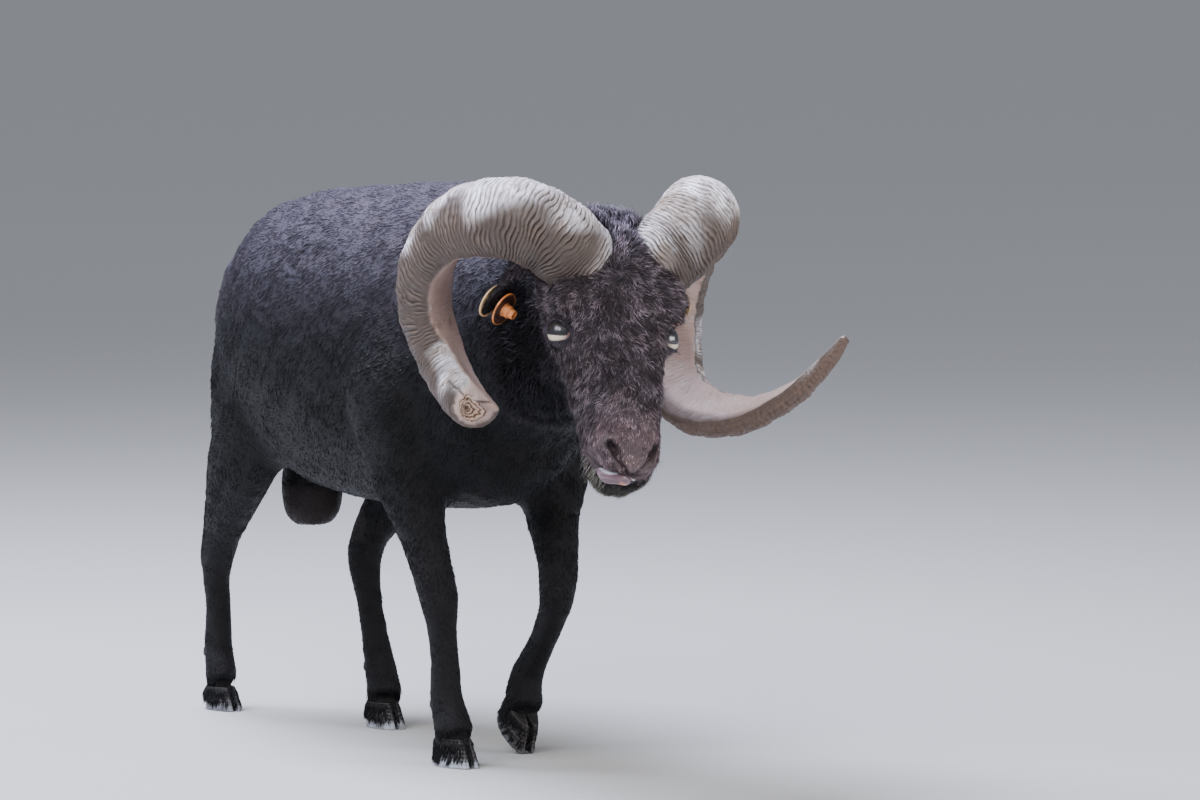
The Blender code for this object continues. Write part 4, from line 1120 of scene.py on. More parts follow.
    def face_forms(self, points: Array, faces: Array) -> Array:
        """Raise and sink the skin along its normals."""
        zones = Zones(points)
        normals = vertex_normals(relax(points, faces, 6, 0.5), faces)
        a, b, c = zones.local.T
        push = np.zeros(len(points))
        slit, mouth, head = zones.nostril, zones.mouth, zones.head
        side = np.abs(c)
        deep = smoothstep(0.50, 0.75, zones.nostril_share)
        left = 1 - 0.45 * smoothstep(0.0, 0.004, c) * (1 - deep)
        push -= (0.0044 + 0.0046 * deep) * bell(np.maximum(slit - 0.0003, 0), 0.0010 + 0.0010 * deep) * left
        push += 0.0011 * bell(slit - 0.0040 - 0.0008 * deep, 0.0016) * left
        split = 0.0010 * bell(c, 0.0012) * smoothstep(0.200, 0.204, a)
        push -= split * smoothstep(0.036, 0.028, b) * head
        forward = smoothstep(-0.003, 0.004, zones.mouth_forward) * head
        forward = forward * smoothstep(0.02, 0.012, np.abs(mouth))
        open_at = bell(c + 0.008, 0.0125) * smoothstep(0.020, 0.028, zones.mouth_forward)
        push -= forward * (0.0030 + 0.002 * open_at) * bell(mouth, 0.0011 + 0.0020 * open_at)
        push += forward * 0.0008 * bell(np.abs(mouth) - 0.0038 - 0.0016 * open_at, 0.0020)
        gland = bell(np.hypot(a - 0.104, b - 0.030), 0.0085) * smoothstep(0.02, 0.03, side)
        push -= 0.0017 * gland * head
        bridge = bell(side - 0.013, 0.006) * smoothstep(0.09, 0.11, a) * smoothstep(0.175, 0.16, a)
        push += 0.0011 * (bridge * smoothstep(0.02, 0.01, b)) * head
        cheek = bell(np.abs(b - 0.055 - 0.25 * (a - 0.09)), 0.0055) * smoothstep(0.08, 0.10, a)
        cheek = cheek * smoothstep(0.165, 0.14, a)
        push -= 0.0013 * cheek * head * smoothstep(0.015, 0.025, side)
        wrinkle = np.sin((b + 0.3 * side) * 2 * np.pi / 0.0042) * smoothstep(0.168, 0.18, a)
        push += 0.00022 * (wrinkle * smoothstep(0.198, 0.19, a)) * head * smoothstep(0.05, 0.04, b)
        y, z = zones.drawn[:, 1], zones.drawn[:, 2]
        body = smoothstep(0.3, 0.8, 1 - head) * smoothstep(0.20, 0.26, z)
        push += (0.0013 * waves(points, 0.060, 41) + 0.0004 * waves(points, 0.020, 42)) * body
        for row, height in ((0.030, 1.0), (0.043, 0.7)):
            neck = bell((y + 0.235 + row * 1.4) - 0.25 * (z - 0.33), 0.007)
            push -= 0.0022 * height * neck * (1 - head) * smoothstep(0.40, 0.34, z)
        push += 0.0002 * (zones.ear * smoothstep(0.9, 0.4, np.abs(waves(points, 0.05, 5))))
        return points + normals * push[:, None]

    @staticmethod
    def lids(points: Array, side: int) -> Array:
        """Draw the skin round an eye into two lids that rest on the ball."""
        centre, axes = EYES.axes(side)
        local = (points - centre) @ axes.T
        u, v, w = local.T
        ring = EYES.ring(u, v)
        near = (w > -0.002) & (np.hypot(u, v) < 0.036)
        u, v, w, ring = u[near], v[near], w[near], ring[near]
        medial = smoothstep(0.003, 0.011, u)
        lid = EYES.lid_height(u, v, 1e-6) + 0.0008
        ball = np.sqrt(np.maximum(EYES.radius ** 2 - u ** 2 - v ** 2, 0.0))
        corner = smoothstep(0.70, 0.95, np.abs(u) / EYES.half_width)
        inner = (ball - 0.0016) * (1 - corner) + (lid - 0.0016) * corner
        edge = smoothstep(0.90, 0.99, ring)
        rim = inner + (lid - inner) * edge + 0.0011 * (1 - 0.8 * medial) * bell(ring - 1.14, 0.13) * edge
        hold = smoothstep(2.05, 1.16, ring)
        upper = smoothstep(-0.002, 0.002, v)
        out = w * (1 - hold) + rim * hold
        shallow = 1 - 0.8 * medial
        out -= (0.0008 * upper + 0.0005 * (1 - upper)) * bell(ring - 1.50, 0.085) * shallow
        out += (0.0009 * upper + 0.0005 * (1 - upper)) * bell(ring - 1.66, 0.12) * shallow
        out -= 0.0005 * (1 - upper) * bell(ring - 1.85, 0.07) * shallow
        limit = 0.0030 + 0.17 * u + 0.5 * np.maximum(np.abs(v) - 0.009, 0.0)
        fade = smoothstep(0.009, 0.013, u) * smoothstep(0.036, 0.026, np.hypot(u, v))
        out = out + np.minimum(limit - out, 0.0) * fade
        out = np.where((ring > 1.03) & (ball > 0.0025), np.maximum(out, ball + 0.0005), out)
        moved = local.copy()
        moved[near, 2] = out
        return np.where(near[:, None], moved @ axes + centre, points)

    def dress(self, thing: Thing, finishes: Finishes) -> None:
        """Colour the skin and let it stand for every node of flesh."""
        store(thing, "marking", Markings.colour(self.zones))
        finishes.finish(thing, Finish.SKIN, *nodes_with("black_fleece"))


class Region(Enum):
    """Parts of the coat, each built as pieces of its own."""

    FACE = 0
    HEAD = 1
    NECK = 2
    TRUNK = 3
    LEGS = 4


@dataclass
class Coat:
    """Tufts over the whole skin that follow the lie of the coat."""

    skin: Skin
    total: int = 140000
    per_piece: int = 19000
    per_clump: int = 13
    patch: float = 0.003
    floor_gap: float = 0.0008
    bright_share: float = 0.15
    RISE = (-0.9, -0.5, 0.0)
    FACES = np.array((
        (0, 1, 4), (0, 4, 3), (1, 2, 5), (1, 5, 4), (2, 0, 3), (2, 3, 5), (3, 4, 6), (4, 5, 6), (5, 3, 6),
        (0, 2, 1),
    ))
    ALONG = (0, 0, 0, 0.55, 0.55, 0.6, 1.0)
    SPOTS = ((0, 0), (1, 0), (0.5, 0.1), (0.1, 0.5), (0.9, 0.5), (0.5, 0.6), (0.5, 1.0))

    def sow(self) -> None:
        """Choose where the tufts root, with more of them where they are smaller."""
        rng = np.random.default_rng(SEED)
        points, faces = self.skin.points, self.skin.faces
        a, b, c = (points[faces[:, k]] for k in range(3))
        area = np.linalg.norm(np.cross(b - a, c - a), axis=1) / 2
        weight = area * self.density(Zones((a + b + c) / 3))
        steps = np.cumsum(weight)
        spots = (np.arange(self.total) + rng.uniform(0, 1, self.total)) / self.total * steps[-1]
        chosen = np.minimum(np.searchsorted(steps, spots), len(faces) - 1)
        p, q = rng.uniform(0, 1, (2, self.total))
        flip = p + q > 1
        p[flip], q[flip] = 1 - p[flip], 1 - q[flip]
        r = 1 - p - q

        def inside(values: Array) -> Array:
            """Values of the corners taken to the places in the faces."""
            first, second, third = (values[faces[chosen, k]] for k in range(3))
            return p[:, None] * first + q[:, None] * second + r[:, None] * third

        self.roots, self.normals = inside(points), unit(inside(self.skin.normals))
        free = ~self.covered(self.roots)
        walls = [Foot(name).wall(side) for name in FEET for side in (-1, 1)]
        self.roots = np.vstack([self.roots[free]] + [roots for roots, _ in walls])
        self.normals = np.vstack([self.normals[free]] + [normals for _, normals in walls])
        self.zones = Zones(self.roots)
        LOG.info("coat: %d tufts", len(self.roots))

    @staticmethod
    def covered(points: Array) -> Array:
        """Which points lie inside horns, claws, tags or tongue."""
        heap = bmesh.new()
        for slot in ("horn_keratin", "hoof_keratin", "tongue_flesh", "tag_orange", "tag_cream"):
            for node in nodes_with(slot):
                heap.from_mesh(frame["nodes"][node].data)
        bmesh.ops.remove_doubles(heap, verts=heap.verts, dist=1e-5)
        tree = BVHTree.FromBMesh(heap)
        to_tongue = np.linalg.norm(HEAD.local(points) - Tongue.stations[3][:3], axis=1)
        margin = np.where(to_tongue < 0.025, 0.0024, 0.0004)
        inside = np.zeros(len(points), bool)
        for index, point in enumerate(points):
            place, normal, _, _ = tree.find_nearest(Vector(point), 0.02)
            if place is not None and (Vector(point) - place).dot(normal) < margin[index]:
                inside[index] = True
        heap.free()
        return inside

    @staticmethod
    def density(zones: Zones) -> Array:
        """Tufts for each square metre, before scaling to the total."""
        value = blended(
            190e3, (230e3, zones.leg), (380e3, zones.shank), (780e3, zones.head), (400e3, zones.throat),
            (760e3, zones.muzzle), (420e3, zones.ear), (260e3, zones.tail), (460e3, zones.hoof),
        )
        value *= smoothstep(1.02, 1.08, zones.eye_ring) * (1 + 0.8 * bell(zones.eye_ring - 1.5, 0.5))
        rim = zones.nostril - 0.0014 * smoothstep(0.5, 0.7, zones.nostril_share)
        value *= smoothstep(0.0016, 0.0026, rim)
        lips = smoothstep(-0.002, 0.002, zones.mouth_forward) * zones.head
        value *= 1 - lips * smoothstep(0.0022, 0.0012, np.abs(zones.mouth))
        a, b, c = zones.local.T
        pad = bell(np.hypot(a - 0.204, b - 0.019), 0.0085) * bell(c, 0.008)
        value *= 1 - 0.9 * pad * zones.head
        return np.maximum(value, 0.0)

    def length(self) -> Array:
        """Length of each tuft."""
        z = self.zones
        value = blended(
            0.0070, (0.0050, z.leg), (0.0032, z.shank), (0.0074, z.head), (0.0150, z.throat),
            (0.0120, np.clip(z.crest, 0, 1)), (0.0034, z.lip), (0.0062, z.chin), (0.0040, z.ear),
            (0.0100, z.tail), (0.0035, z.scrotum), (0.0075, z.hoof),
        )
        value *= 0.42 + 0.58 * smoothstep(1.1, 2.4, z.eye_ring)
        value *= 1 + 0.22 * waves(self.roots, 0.018, 12)
        return value

    def lie(self) -> Array:
        """The way that the coat lies at each root, along the skin."""
        z = self.zones
        ear = EAR_TIP - EAR_ROOT
        steps = (
            ((0.0, 0.22, -1.0), z.leg), (unit(z.local - WHORL) @ BASIS, z.head),
            ((0.0, 0.45, -0.9), z.throat), (unit(np.array(self.RISE)) @ BASIS, np.clip(z.crest * 1.2, 0, 1)),
            (unit((ear * (1, 1, -1)) @ BASIS), z.ear_right), (unit(ear @ BASIS), z.ear_left),
            ((0.0, 0.1, -1.0), z.tail), (z.hoof_way, z.hoof),
        )
        way = np.array((0.0, 0.75, -0.62))
        way = blended(way, *((np.array(goal), share[:, None]) for goal, share in steps))
        way = unit(way - dot(way, self.normals)[:, None] * self.normals)
        side = np.cross(self.normals, way)
        rng = np.random.default_rng(SEED + 1)
        fluffy = z.head * (1 - z.muzzle)
        swirl = (0.16 + 0.14 * fluffy) * waves(self.roots, 0.070, 21)
        swirl = swirl + (0.08 + 0.24 * fluffy) * waves(self.roots, 0.020, 22)
        swirl = swirl * (1 - 0.7 * z.hoof) + rng.normal(0, 1, len(way)) * (0.16 + 0.16 * fluffy)
        return way * np.cos(swirl)[:, None] + side * np.sin(swirl)[:, None]

    def clumps(self, reach: Array) -> Array:
        """How far each tuft's tip leans to the middle of its clump."""
        rng = np.random.default_rng(SEED + 2)
        count = len(self.roots) // self.per_clump
        seeds = rng.choice(len(self.roots), count, replace=False)
        tree = KDTree(count)
        for index, seed in enumerate(seeds):
            tree.insert(self.roots[seed], index)
        tree.balance()
        middle = np.array([seeds[tree.find(point)[1]] for point in self.roots])
        self.clump = middle
        gap = self.roots[middle] - self.roots
        size = np.linalg.norm(gap, axis=1, keepdims=True)
        pull = 0.08 + 0.20 * self.zones.head[:, None]
        return gap * np.minimum(1.0, reach[:, None] / np.maximum(size, 1e-6)) * pull

    def grow(self) -> None:
        """Give every tuft its seven points."""
        rng = np.random.default_rng(SEED + 3)
        z = self.zones
        count = len(self.roots)
        length = self.length() * rng.uniform(0.72, 1.22, count)
        way = self.lie()
        crest = np.clip(z.crest, 0, 1)
        lift = blended(
            0.16, (0.18, z.leg), (0.34, z.head), (0.62, z.throat), (1.05, crest), (0.20, z.lip),
            (0.50, z.chin), (0.16, z.hoof),
        )
        lift *= 0.4 + 0.6 * smoothstep(1.1, 3.0, z.eye_ring)
        # A share of the head's tufts is made much lighter in tone: painted glints of light on single strands;
        # these tufts also stand up more and are a little wider.
        often = self.bright_share * z.head * (1 - z.throat) * (1 - 0.8 * crest)
        glinting = rng.uniform(0, 1, count) < often
        stray = rng.normal(0, 1, count) * (0.04 + 0.08 * z.head)
        lift += stray + (0.01 + 0.04 * z.head) * waves(self.roots, 0.012, 31) + 0.13 * glinting
        wide = blended(
            0.00125, (0.0010, z.leg), (0.00070, z.shank), (0.00055, z.head), (0.00095, z.throat),
            (0.00095, crest), (0.00052, z.muzzle), (0.0008, z.ear), (0.0013, z.hoof),
        )
        wide = wide * rng.uniform(0.75, 1.25, count) * (1 + 0.12 * glinting)
        n = self.normals
        side = np.cross(n, way)
        lean = self.clumps(length)
        length, wide = length[:, None], wide[:, None]
        run, rise = np.cos(lift)[:, None], np.sin(lift)[:, None]
        curl = (rng.normal(0, 1, count) * (0.08 + 0.12 * z.head))[:, None]
        base = self.roots - n * (0.25 * wide + 0.0002)
        middle = base + length * (0.52 * run * way + 0.66 * rise * n + curl * side) + 0.30 * lean
        tip = base + length * (1.02 * run * way + 0.92 * rise * n) + lean
        turn = rng.normal(0, 0.35, count)[:, None]
        flat = unit(side * np.cos(turn) + n * np.sin(turn))
        ridge = unit(np.cross(way, flat))
        ridge *= np.sign(dot(ridge, n))[:, None]
        corners = [
            centre + flat * wide * scale * s + ridge * wide * scale * r
            for centre, scale in ((base, 1.0), (middle, 0.78))
            for s, r in ((-0.5, -0.12), (0.5, -0.12), (0.0, 0.34))
        ]
        self.tufts = np.stack([*corners, tip], axis=1)
        self.tufts[..., 2] = np.maximum(self.tufts[..., 2], self.floor_gap)
        tone = rng.normal(0.0, 0.20, count) + 0.14 * waves(self.roots, 0.010, 33)
        tone = (tone + rng.normal(0.0, 0.20, count)[self.clump]) * (0.12 + 1.08 * z.head)
        self.tone = np.clip(0.46 + tone + 0.34 * glinting, 0, 1)

    def unwrap(self) -> Array:
        """Each root's place on an unwrap of the skin: a chart round each limb's own axis."""
        z = self.zones
        x, y, h = z.drawn.T
        a, b, _ = z.local.T
        turn = np.arctan2(x, h - 0.34) / (2 * np.pi) + 0.5
        body = np.stack([0.02 + 0.60 * turn, 0.02 + 0.50 * (y + 0.35) / 0.64], 1)
        on_head = (z.head > 0.5)[:, None]
        place = np.where(on_head, head_chart(z.local), body)
        for number, stations in enumerate(LEG_AXES):
            row, column = divmod(number, 2)
            chosen = (z.leg > 0.5) & ((x > 0.005) == bool(row)) & ((y < -0.02) == bool(column))
            cx, cy = (np.interp(h, stations[:, 2], stations[:, k]) for k in range(2))
            turn = np.arctan2(x - cx, y - cy) / (2 * np.pi) + 0.5
            leg = np.stack([0.64 + 0.16 * column + 0.15 * turn, 0.03 + 0.46 * row + 0.44 * h / 0.24], 1)
            place = np.where(chosen[:, None] & ~on_head, leg, place)
        for share, low in ((z.ear_right, 0.60), (z.ear_left, 0.80)):
            ear = np.stack([0.52 + 0.10 * (a / 0.08), low + 0.16 * (b / 0.11)], 1)
            place = np.where((share > 0.5)[:, None], ear, place)
        return np.clip(place, 0.002, 0.996)

    def regions(self) -> Array:
        """The region that each tuft belongs to."""
        z = self.zones
        region = np.full(len(self.roots), Region.TRUNK.value)
        region[z.leg > 0.5] = Region.LEGS.value
        region[(z.drawn[:, 1] < -0.245) & (z.leg <= 0.5)] = Region.NECK.value
        region[z.head > 0.5] = Region.HEAD.value
        region[(z.head > 0.5) & (z.throat < 0.4) & (z.local[:, 0] > 0.02)] = Region.FACE.value
        return region

    def build(self, finishes: Finishes) -> None:
        """Make the pieces, each with its own map for baking."""
        self.sow()
        self.grow()
        place = self.unwrap()
        marking = Markings.colour(self.zones)
        region = self.regions()
        spots = np.array(self.SPOTS) * self.patch
        corners = len(spots)
        for kind in Region:
            members = np.nonzero(region == kind.value)[0]
            members = members[np.argsort(self.roots[members, 1], kind="stable")]
            parts = max(1, math.ceil(len(members) / self.per_piece))
            for number, chosen in enumerate(np.array_split(members, parts), 1):
                count = len(chosen)
                points = self.tufts[chosen].reshape(-1, 3)
                faces = self.FACES + corners * np.arange(count)[:, None, None]
                faces = self.outward(points, faces)
                thing = make_object(f"coat_{kind.name.lower()}_{number}", points, faces)
                store(thing, "marking", np.repeat(marking[chosen], corners, axis=0))
                store(thing, "tone", np.repeat(self.tone[chosen], corners))
                store(thing, "along", np.tile(self.ALONG, count))
                bake_map(thing, (place[chosen][:, None] + spots).reshape(-1, 2), faces)
                finishes.finish(thing, Finish.COAT)

    @staticmethod
    def outward(points: Array, tufts: Array) -> Array:
        """Faces turned so that every tuft's surface looks out."""
        a, b, c = (points[tufts[:, :, k]] for k in range(3))
        origin = points[tufts[:, 0, 0]][:, None]
        volume = dot(a - origin, np.cross(b - origin, c - origin)).sum(1)
        return np.where((volume < 0)[:, None, None], tufts[:, :, ::-1], tufts).reshape(-1, 3)


LEG_AXES = tuple(np.array(rows[::-1]) for rows in (
    ((-0.073, 0.150, 0.30), (-0.070, 0.164, 0.235), (-0.063, 0.228, 0.160), (-0.060, 0.247, 0.112),
     (-0.059, 0.237, 0.0)),
    ((-0.073, -0.148, 0.30), (-0.060, -0.168, 0.20), (-0.050, -0.191, 0.112), (-0.046, -0.190, 0.056),
     (-0.044, -0.209, 0.0)),
    ((0.064, 0.142, 0.30), (0.066, 0.115, 0.235), (0.042, 0.143, 0.162), (0.030, 0.126, 0.112),
     (0.014, 0.057, 0.0)),
    ((0.074, -0.148, 0.30), (0.057, -0.180, 0.20), (0.047, -0.208, 0.140), (0.048, -0.172, 0.089),
     (0.040, -0.147, 0.0)),
))


@dataclass
class Horn:
    """A curled horn with wavy ridges round its crown and a smooth inner face."""

    label: str
    side: int
    stations: tuple
    spacing: float = 0.0005
    sides: int = 84
    curl_centre: tuple = (-0.365, 0.375)
    flat_inward: float = 0.74
    flat_medial: float = 0.67
    flat_depth: float = 0.5
    thickness: float = 0.92
    core_shift: tuple = (-0.0062, 0.0032, -0.0018)
    cracks: tuple = (
        (-0.0200, 0.0190), (-0.0114, 0.0114), (-0.0065, 0.0070), (-0.0024, 0.0032), (0.0024, 0.0028),
        (0.0130, 0.0024),
    )
    cut_off: int = 7
    cap_rings: int = 44
    SHARES = ("groove", "core", "crown", "under", "ridge", "toplight")

    def spine(self) -> None:
        """Centres, axes and sizes along the horn."""
        rows = track(self.stations, self.spacing)
        self.centres = rows[:, :3]
        self.half = rows[:, 3]
        tangents = unit(np.gradient(self.centres, axis=0))
        inward = (0.0, *self.curl_centre) - self.centres * (0, 1, 1)
        flat = self.flat_inward * unit(inward) + self.flat_medial * np.array((-self.side, 0.0, 0.0))
        self.flat = unit(flat - dot(flat, tangents)[:, None] * tangents)
        self.across = np.cross(tangents, self.flat)
        self.tangents = tangents
        self.arc = np.arange(len(rows)) * np.linalg.norm(self.centres[1] - self.centres[0])

    def rings(self, scale: float = 1.0) -> Array:
        """Plain rings without ridges."""
        self.spine()
        angle = circle(self.sides)
        crown = self.crown(angle)
        out = -self.flat[:, None] * crown[None, :, None] * self.thickness
        out = out + self.across[:, None] * np.sin(angle)[None, :, None]
        return self.centres[:, None] + SHIFT + out * self.half[:, None, None] * scale

    def outward(self, rings: Array) -> Array:
        """Unit vectors from the horn's centres to its rings' points."""
        return unit(rings - (self.centres[:, None] + SHIFT))

    def crown(self, angle: Array) -> Array:
        """Height of the section over its centre, flat on the inner face."""
        soft = 0.10
        return -self.flat_depth + soft * np.log1p(np.exp((np.cos(angle) + self.flat_depth) / soft))

    def ripple(self, terms: int, seed: int, lobes: int, pitch: float) -> Array:
        """Noise over arc and angle, in about -1 to 1, closed round the horn."""
        rng = np.random.default_rng(seed)
        angle = circle(self.sides)
        total = np.zeros((len(self.arc), self.sides))
        for _ in range(terms):
            m = rng.integers(-lobes, lobes + 1)
            k = rng.uniform(-1, 1) * 2 * np.pi / pitch
            total += np.sin(m * angle + k * self.arc[:, None] + rng.uniform(0, 6.28))
        return total / math.sqrt(terms / 2)

    def build(self) -> Thing:
        """Model the horn with its grooves."""
        rings = self.rings()
        angle = circle(self.sides)
        along = self.arc / self.arc[-1]
        seed = 60 + self.side
        around = np.cos(angle)
        crest = smoothstep(-0.52, -0.10, around)
        low_crest, soft_crest = 0.10 + 0.90 * crest, 0.4 + 0.6 * crest
        pitch = 0.0029 + 0.0024 * smoothstep(0.10, 0.75, along)
        phase = np.cumsum(np.full(len(along), self.arc[1]) / pitch)[:, None]
        wiggle = 0.42 * self.ripple(8, seed, 2, 0.060) + 0.17 * self.ripple(12, seed + 5, 9, 0.020)
        wiggle += 0.09 * self.ripple(14, seed + 9, 20, 0.008)
        turn = phase + wiggle + 0.5 * around
        part = turn - np.floor(turn)
        width = np.maximum(0.135 + 0.035 * self.ripple(6, seed + 2, 3, 0.03), 0.08)
        groove = bell(part - 0.90, width) + bell(part + 0.10, width)
        vigour = np.clip(0.88 + 0.42 * self.ripple(8, seed + 3, 8, 0.018), 0.05, 1.4)
        # How much lighter each ring's raised lip is painted, most on the crest: painted highlight.
        ridge = np.exp(-part / 0.22) * vigour * (0.25 + 0.75 * crest)
        strength = 0.0017 - 0.0010 * smoothstep(0.10, 0.42, along) - 0.00025 * smoothstep(0.6, 0.95, along)
        groove_depth = (0.80 * groove + 0.50 * part) * vigour * strength[:, None] * low_crest
        roll = np.sin(2 * np.pi * self.arc / 0.021 + 1.3)[:, None] + 0.6 * self.ripple(5, seed + 7, 2, 0.035)
        push = -groove_depth + 0.00045 * roll * soft_crest * smoothstep(1.0, 0.85, along)[:, None]
        push += 0.00022 * self.ripple(16, seed + 4, 26, 0.004) * soft_crest
        keel = bell(around + 0.50, 0.10)
        push += 0.0006 * keel * (1 + 0.8 * self.ripple(8, seed + 6, 3, 0.012))
        outward = self.outward(rings)
        room = np.minimum(self.half / 0.012, 1.0)[:, None]
        rings = rings + outward * (push * room)[..., None]
        core = np.zeros(rings.shape[:2])
        fading = (1 - 0.25 * smoothstep(0.12, 0.45, along))[:, None]
        dark = np.clip(groove * vigour * low_crest * fading, 0, 1)
        crown = 1 - smoothstep(-0.40, -0.62, around) * np.ones_like(core)
        seam = bell(around + 0.44, 0.05) * smoothstep(0.25, 0.45, along)[:, None] * (self.side > 0)
        dark = np.maximum(dark, 0.8 * seam)
        rings = rings - outward * (0.0006 * seam * room)[..., None]
        # Painted top light: the horn is painted paler where it faces up, the left horn a little more.
        light = outward[..., 2] + 0.20 * (self.side > 0) + 0.22 * self.ripple(6, seed + 8, 3, 0.03)
        values = (dark, core, crown, self.underside(rings, along), ridge, smoothstep(0.05, 0.80, light))
        if self.side < 0:
            rings, *values = self.cut_end(rings, *values)
        points, faces = tube(rings)
        self.values = dict(zip(self.SHARES, values))
        core = values[1]
        arc = np.append(self.arc, np.full(len(rings) - len(self.arc), self.arc[-1]))
        reach = (1 - 0.999 * core) * 0.028
        self.wrap = np.stack([
            around * reach, np.sin(angle) * reach, np.broadcast_to(arc[:, None], core.shape),
        ], axis=-1)
        return make_object("horn_" + self.label, points, faces)

    def underside(self, rings: Array, along: Array) -> Array:
        """How much of the lower side is painted dark: painted shade where the horn faces down."""
        down = -self.outward(rings)[..., 2]
        if self.side > 0:
            return 0.95 * smoothstep(-0.30, 0.20, down) * smoothstep(0.50, 0.64, along)[:, None]
        return 0.4 * smoothstep(0.35, 0.85, down) * smoothstep(0.80, 0.95, along)[:, None]

    def cut_end(self, rings: Array, *values: Array) -> tuple:
        """Close the horn with a worn, rounded end: a swirled core and cracks.

        Args:
            rings: The horn's rings.
            values: What the shader reads at the rings' points, in the order of SHARES.

        Returns:
            The same with the end added.
        """
        keep = len(rings) - self.cut_off
        self.arc = self.arc[:keep]
        push = self.tangents[-1]
        rings, values = rings[:keep].copy(), [value[:keep] for value in values]
        for row, share in zip(range(keep - 10, keep), np.arange(1, 11) / 10):
            rings[row] += (rings[row].mean(0) - rings[row]) * 0.10 * share ** 2
        last, middle = rings[-1], rings[-1].mean(0)
        radii = np.linspace(1.0, 0.0, self.cap_rings + 2)[1:-1, None, None]
        caps = middle + (last - middle) * radii + self.core_shift * (1 - radii)
        r = radii[..., 0] * np.ones((1, self.sides))
        rough = waves(caps.reshape(-1, 3), 0.011, 71).reshape(r.shape) * (1 - r ** 3)
        high = 0.0050 * (1 - r ** 2.4) + 0.0009 * rough - 0.0026 * bell(r, 0.30)
        high += 0.0007 * bell(r - 0.50, 0.07)
        high += 0.00022 * np.sin(r * 60 + 2 * rough) * smoothstep(0.55, 0.4, r)
        caps = caps + high[..., None] * push
        _, _, crown, under, ridge, toplight = (value[-1] for value in values)
        crown = crown + (0.15 - crown) * smoothstep(0.98, 0.72, r)
        extra = [np.zeros_like(r), 1 - r, crown, under * r, ridge * r ** 4, toplight * np.ones_like(r)]
        rings = np.vstack([rings, caps])
        values = [np.vstack([value, more]) for value, more in zip(values, extra)]
        flat = np.stack([(rings - middle) @ VIEW_RIGHT, (rings - middle) @ VIEW_UP], axis=-1)
        facing = smoothstep(-0.2, 0.2, unit(rings - middle + 0.02 * push) @ VIEW_BACK)
        crack = np.full(flat.shape[:2], 1.0)
        for begin, end in zip(self.cracks, self.cracks[1:]):
            way = np.array(end) - begin
            t = np.clip(((flat - begin) @ way) / (way @ way), 0, 1)
            away = np.linalg.norm(flat - begin - t[..., None] * way, axis=-1)
            crack = np.minimum(crack, away / (1.2 - 0.4 * t))
        crack = bell(crack, 0.0009) * facing
        values[0] = np.maximum(values[0], crack)
        rings = rings - 0.0012 * crack[..., None] * push
        return (rings, *values)

    def dress(self, thing: Thing, finishes: Finishes) -> None:
        """Keep what the horn's shader reads and lay it on."""
        for name, value in self.values.items():
            store(thing, name, np.append(value, [value[0, 0], value[-1, 0]]))
        ends = self.wrap[[0, -1]].mean(1)
        store(thing, "wrap", np.vstack([self.wrap.reshape(-1, 3), ends]))
        finishes.finish(thing, Finish.HORN, "horn_" + self.label)


@dataclass
class Eye:
    """An eyeball with a bulging clear front."""

    label: str
    side: int
    rings: int = 56
    sides: int = 96
    bulge: float = 0.0006
    crowding: float = 1.25

    def build(self) -> Thing:
        """Model the ball round its gaze."""
        centre, axes = EYES.axes(self.side)
        angle = np.pi * (np.linspace(0, 1, self.rings + 2)[1:-1] ** self.crowding)
        turn = circle(self.sides)
        radius = EYES.radius + self.bulge * smoothstep(0.85, 0.45, angle)
        across = np.sin(angle)[:, None]
        out = np.cos(angle)[:, None] * np.ones(self.sides)
        local = np.stack([across * np.cos(turn), across * np.sin(turn), out], axis=-1)
        gaze = axes[2]
        level = unit(np.cross((0.0, 0.0, 1.0), gaze))
        rings = (local * radius[:, None, None]) @ np.stack([level, np.cross(gaze, level), gaze]) + centre
        points, faces = tube(rings)
        points[-2] = centre + gaze * (EYES.radius + self.bulge)
        points[-1] = centre - gaze * EYES.radius
        local = local * np.array((-self.side, 1.0, 1.0))
        self.gaze = np.vstack([local.reshape(-1, 3), (0, 0, 1), (0, 0, -1)])
        return make_object("eye_" + self.label, points, faces)

    def dress(self, thing: Thing, finishes: Finishes) -> None:
        """Lay on the eye's finish."""
        store(thing, "gaze", self.gaze)
        finishes.finish(thing, Finish.EYE, "eye_" + self.label)


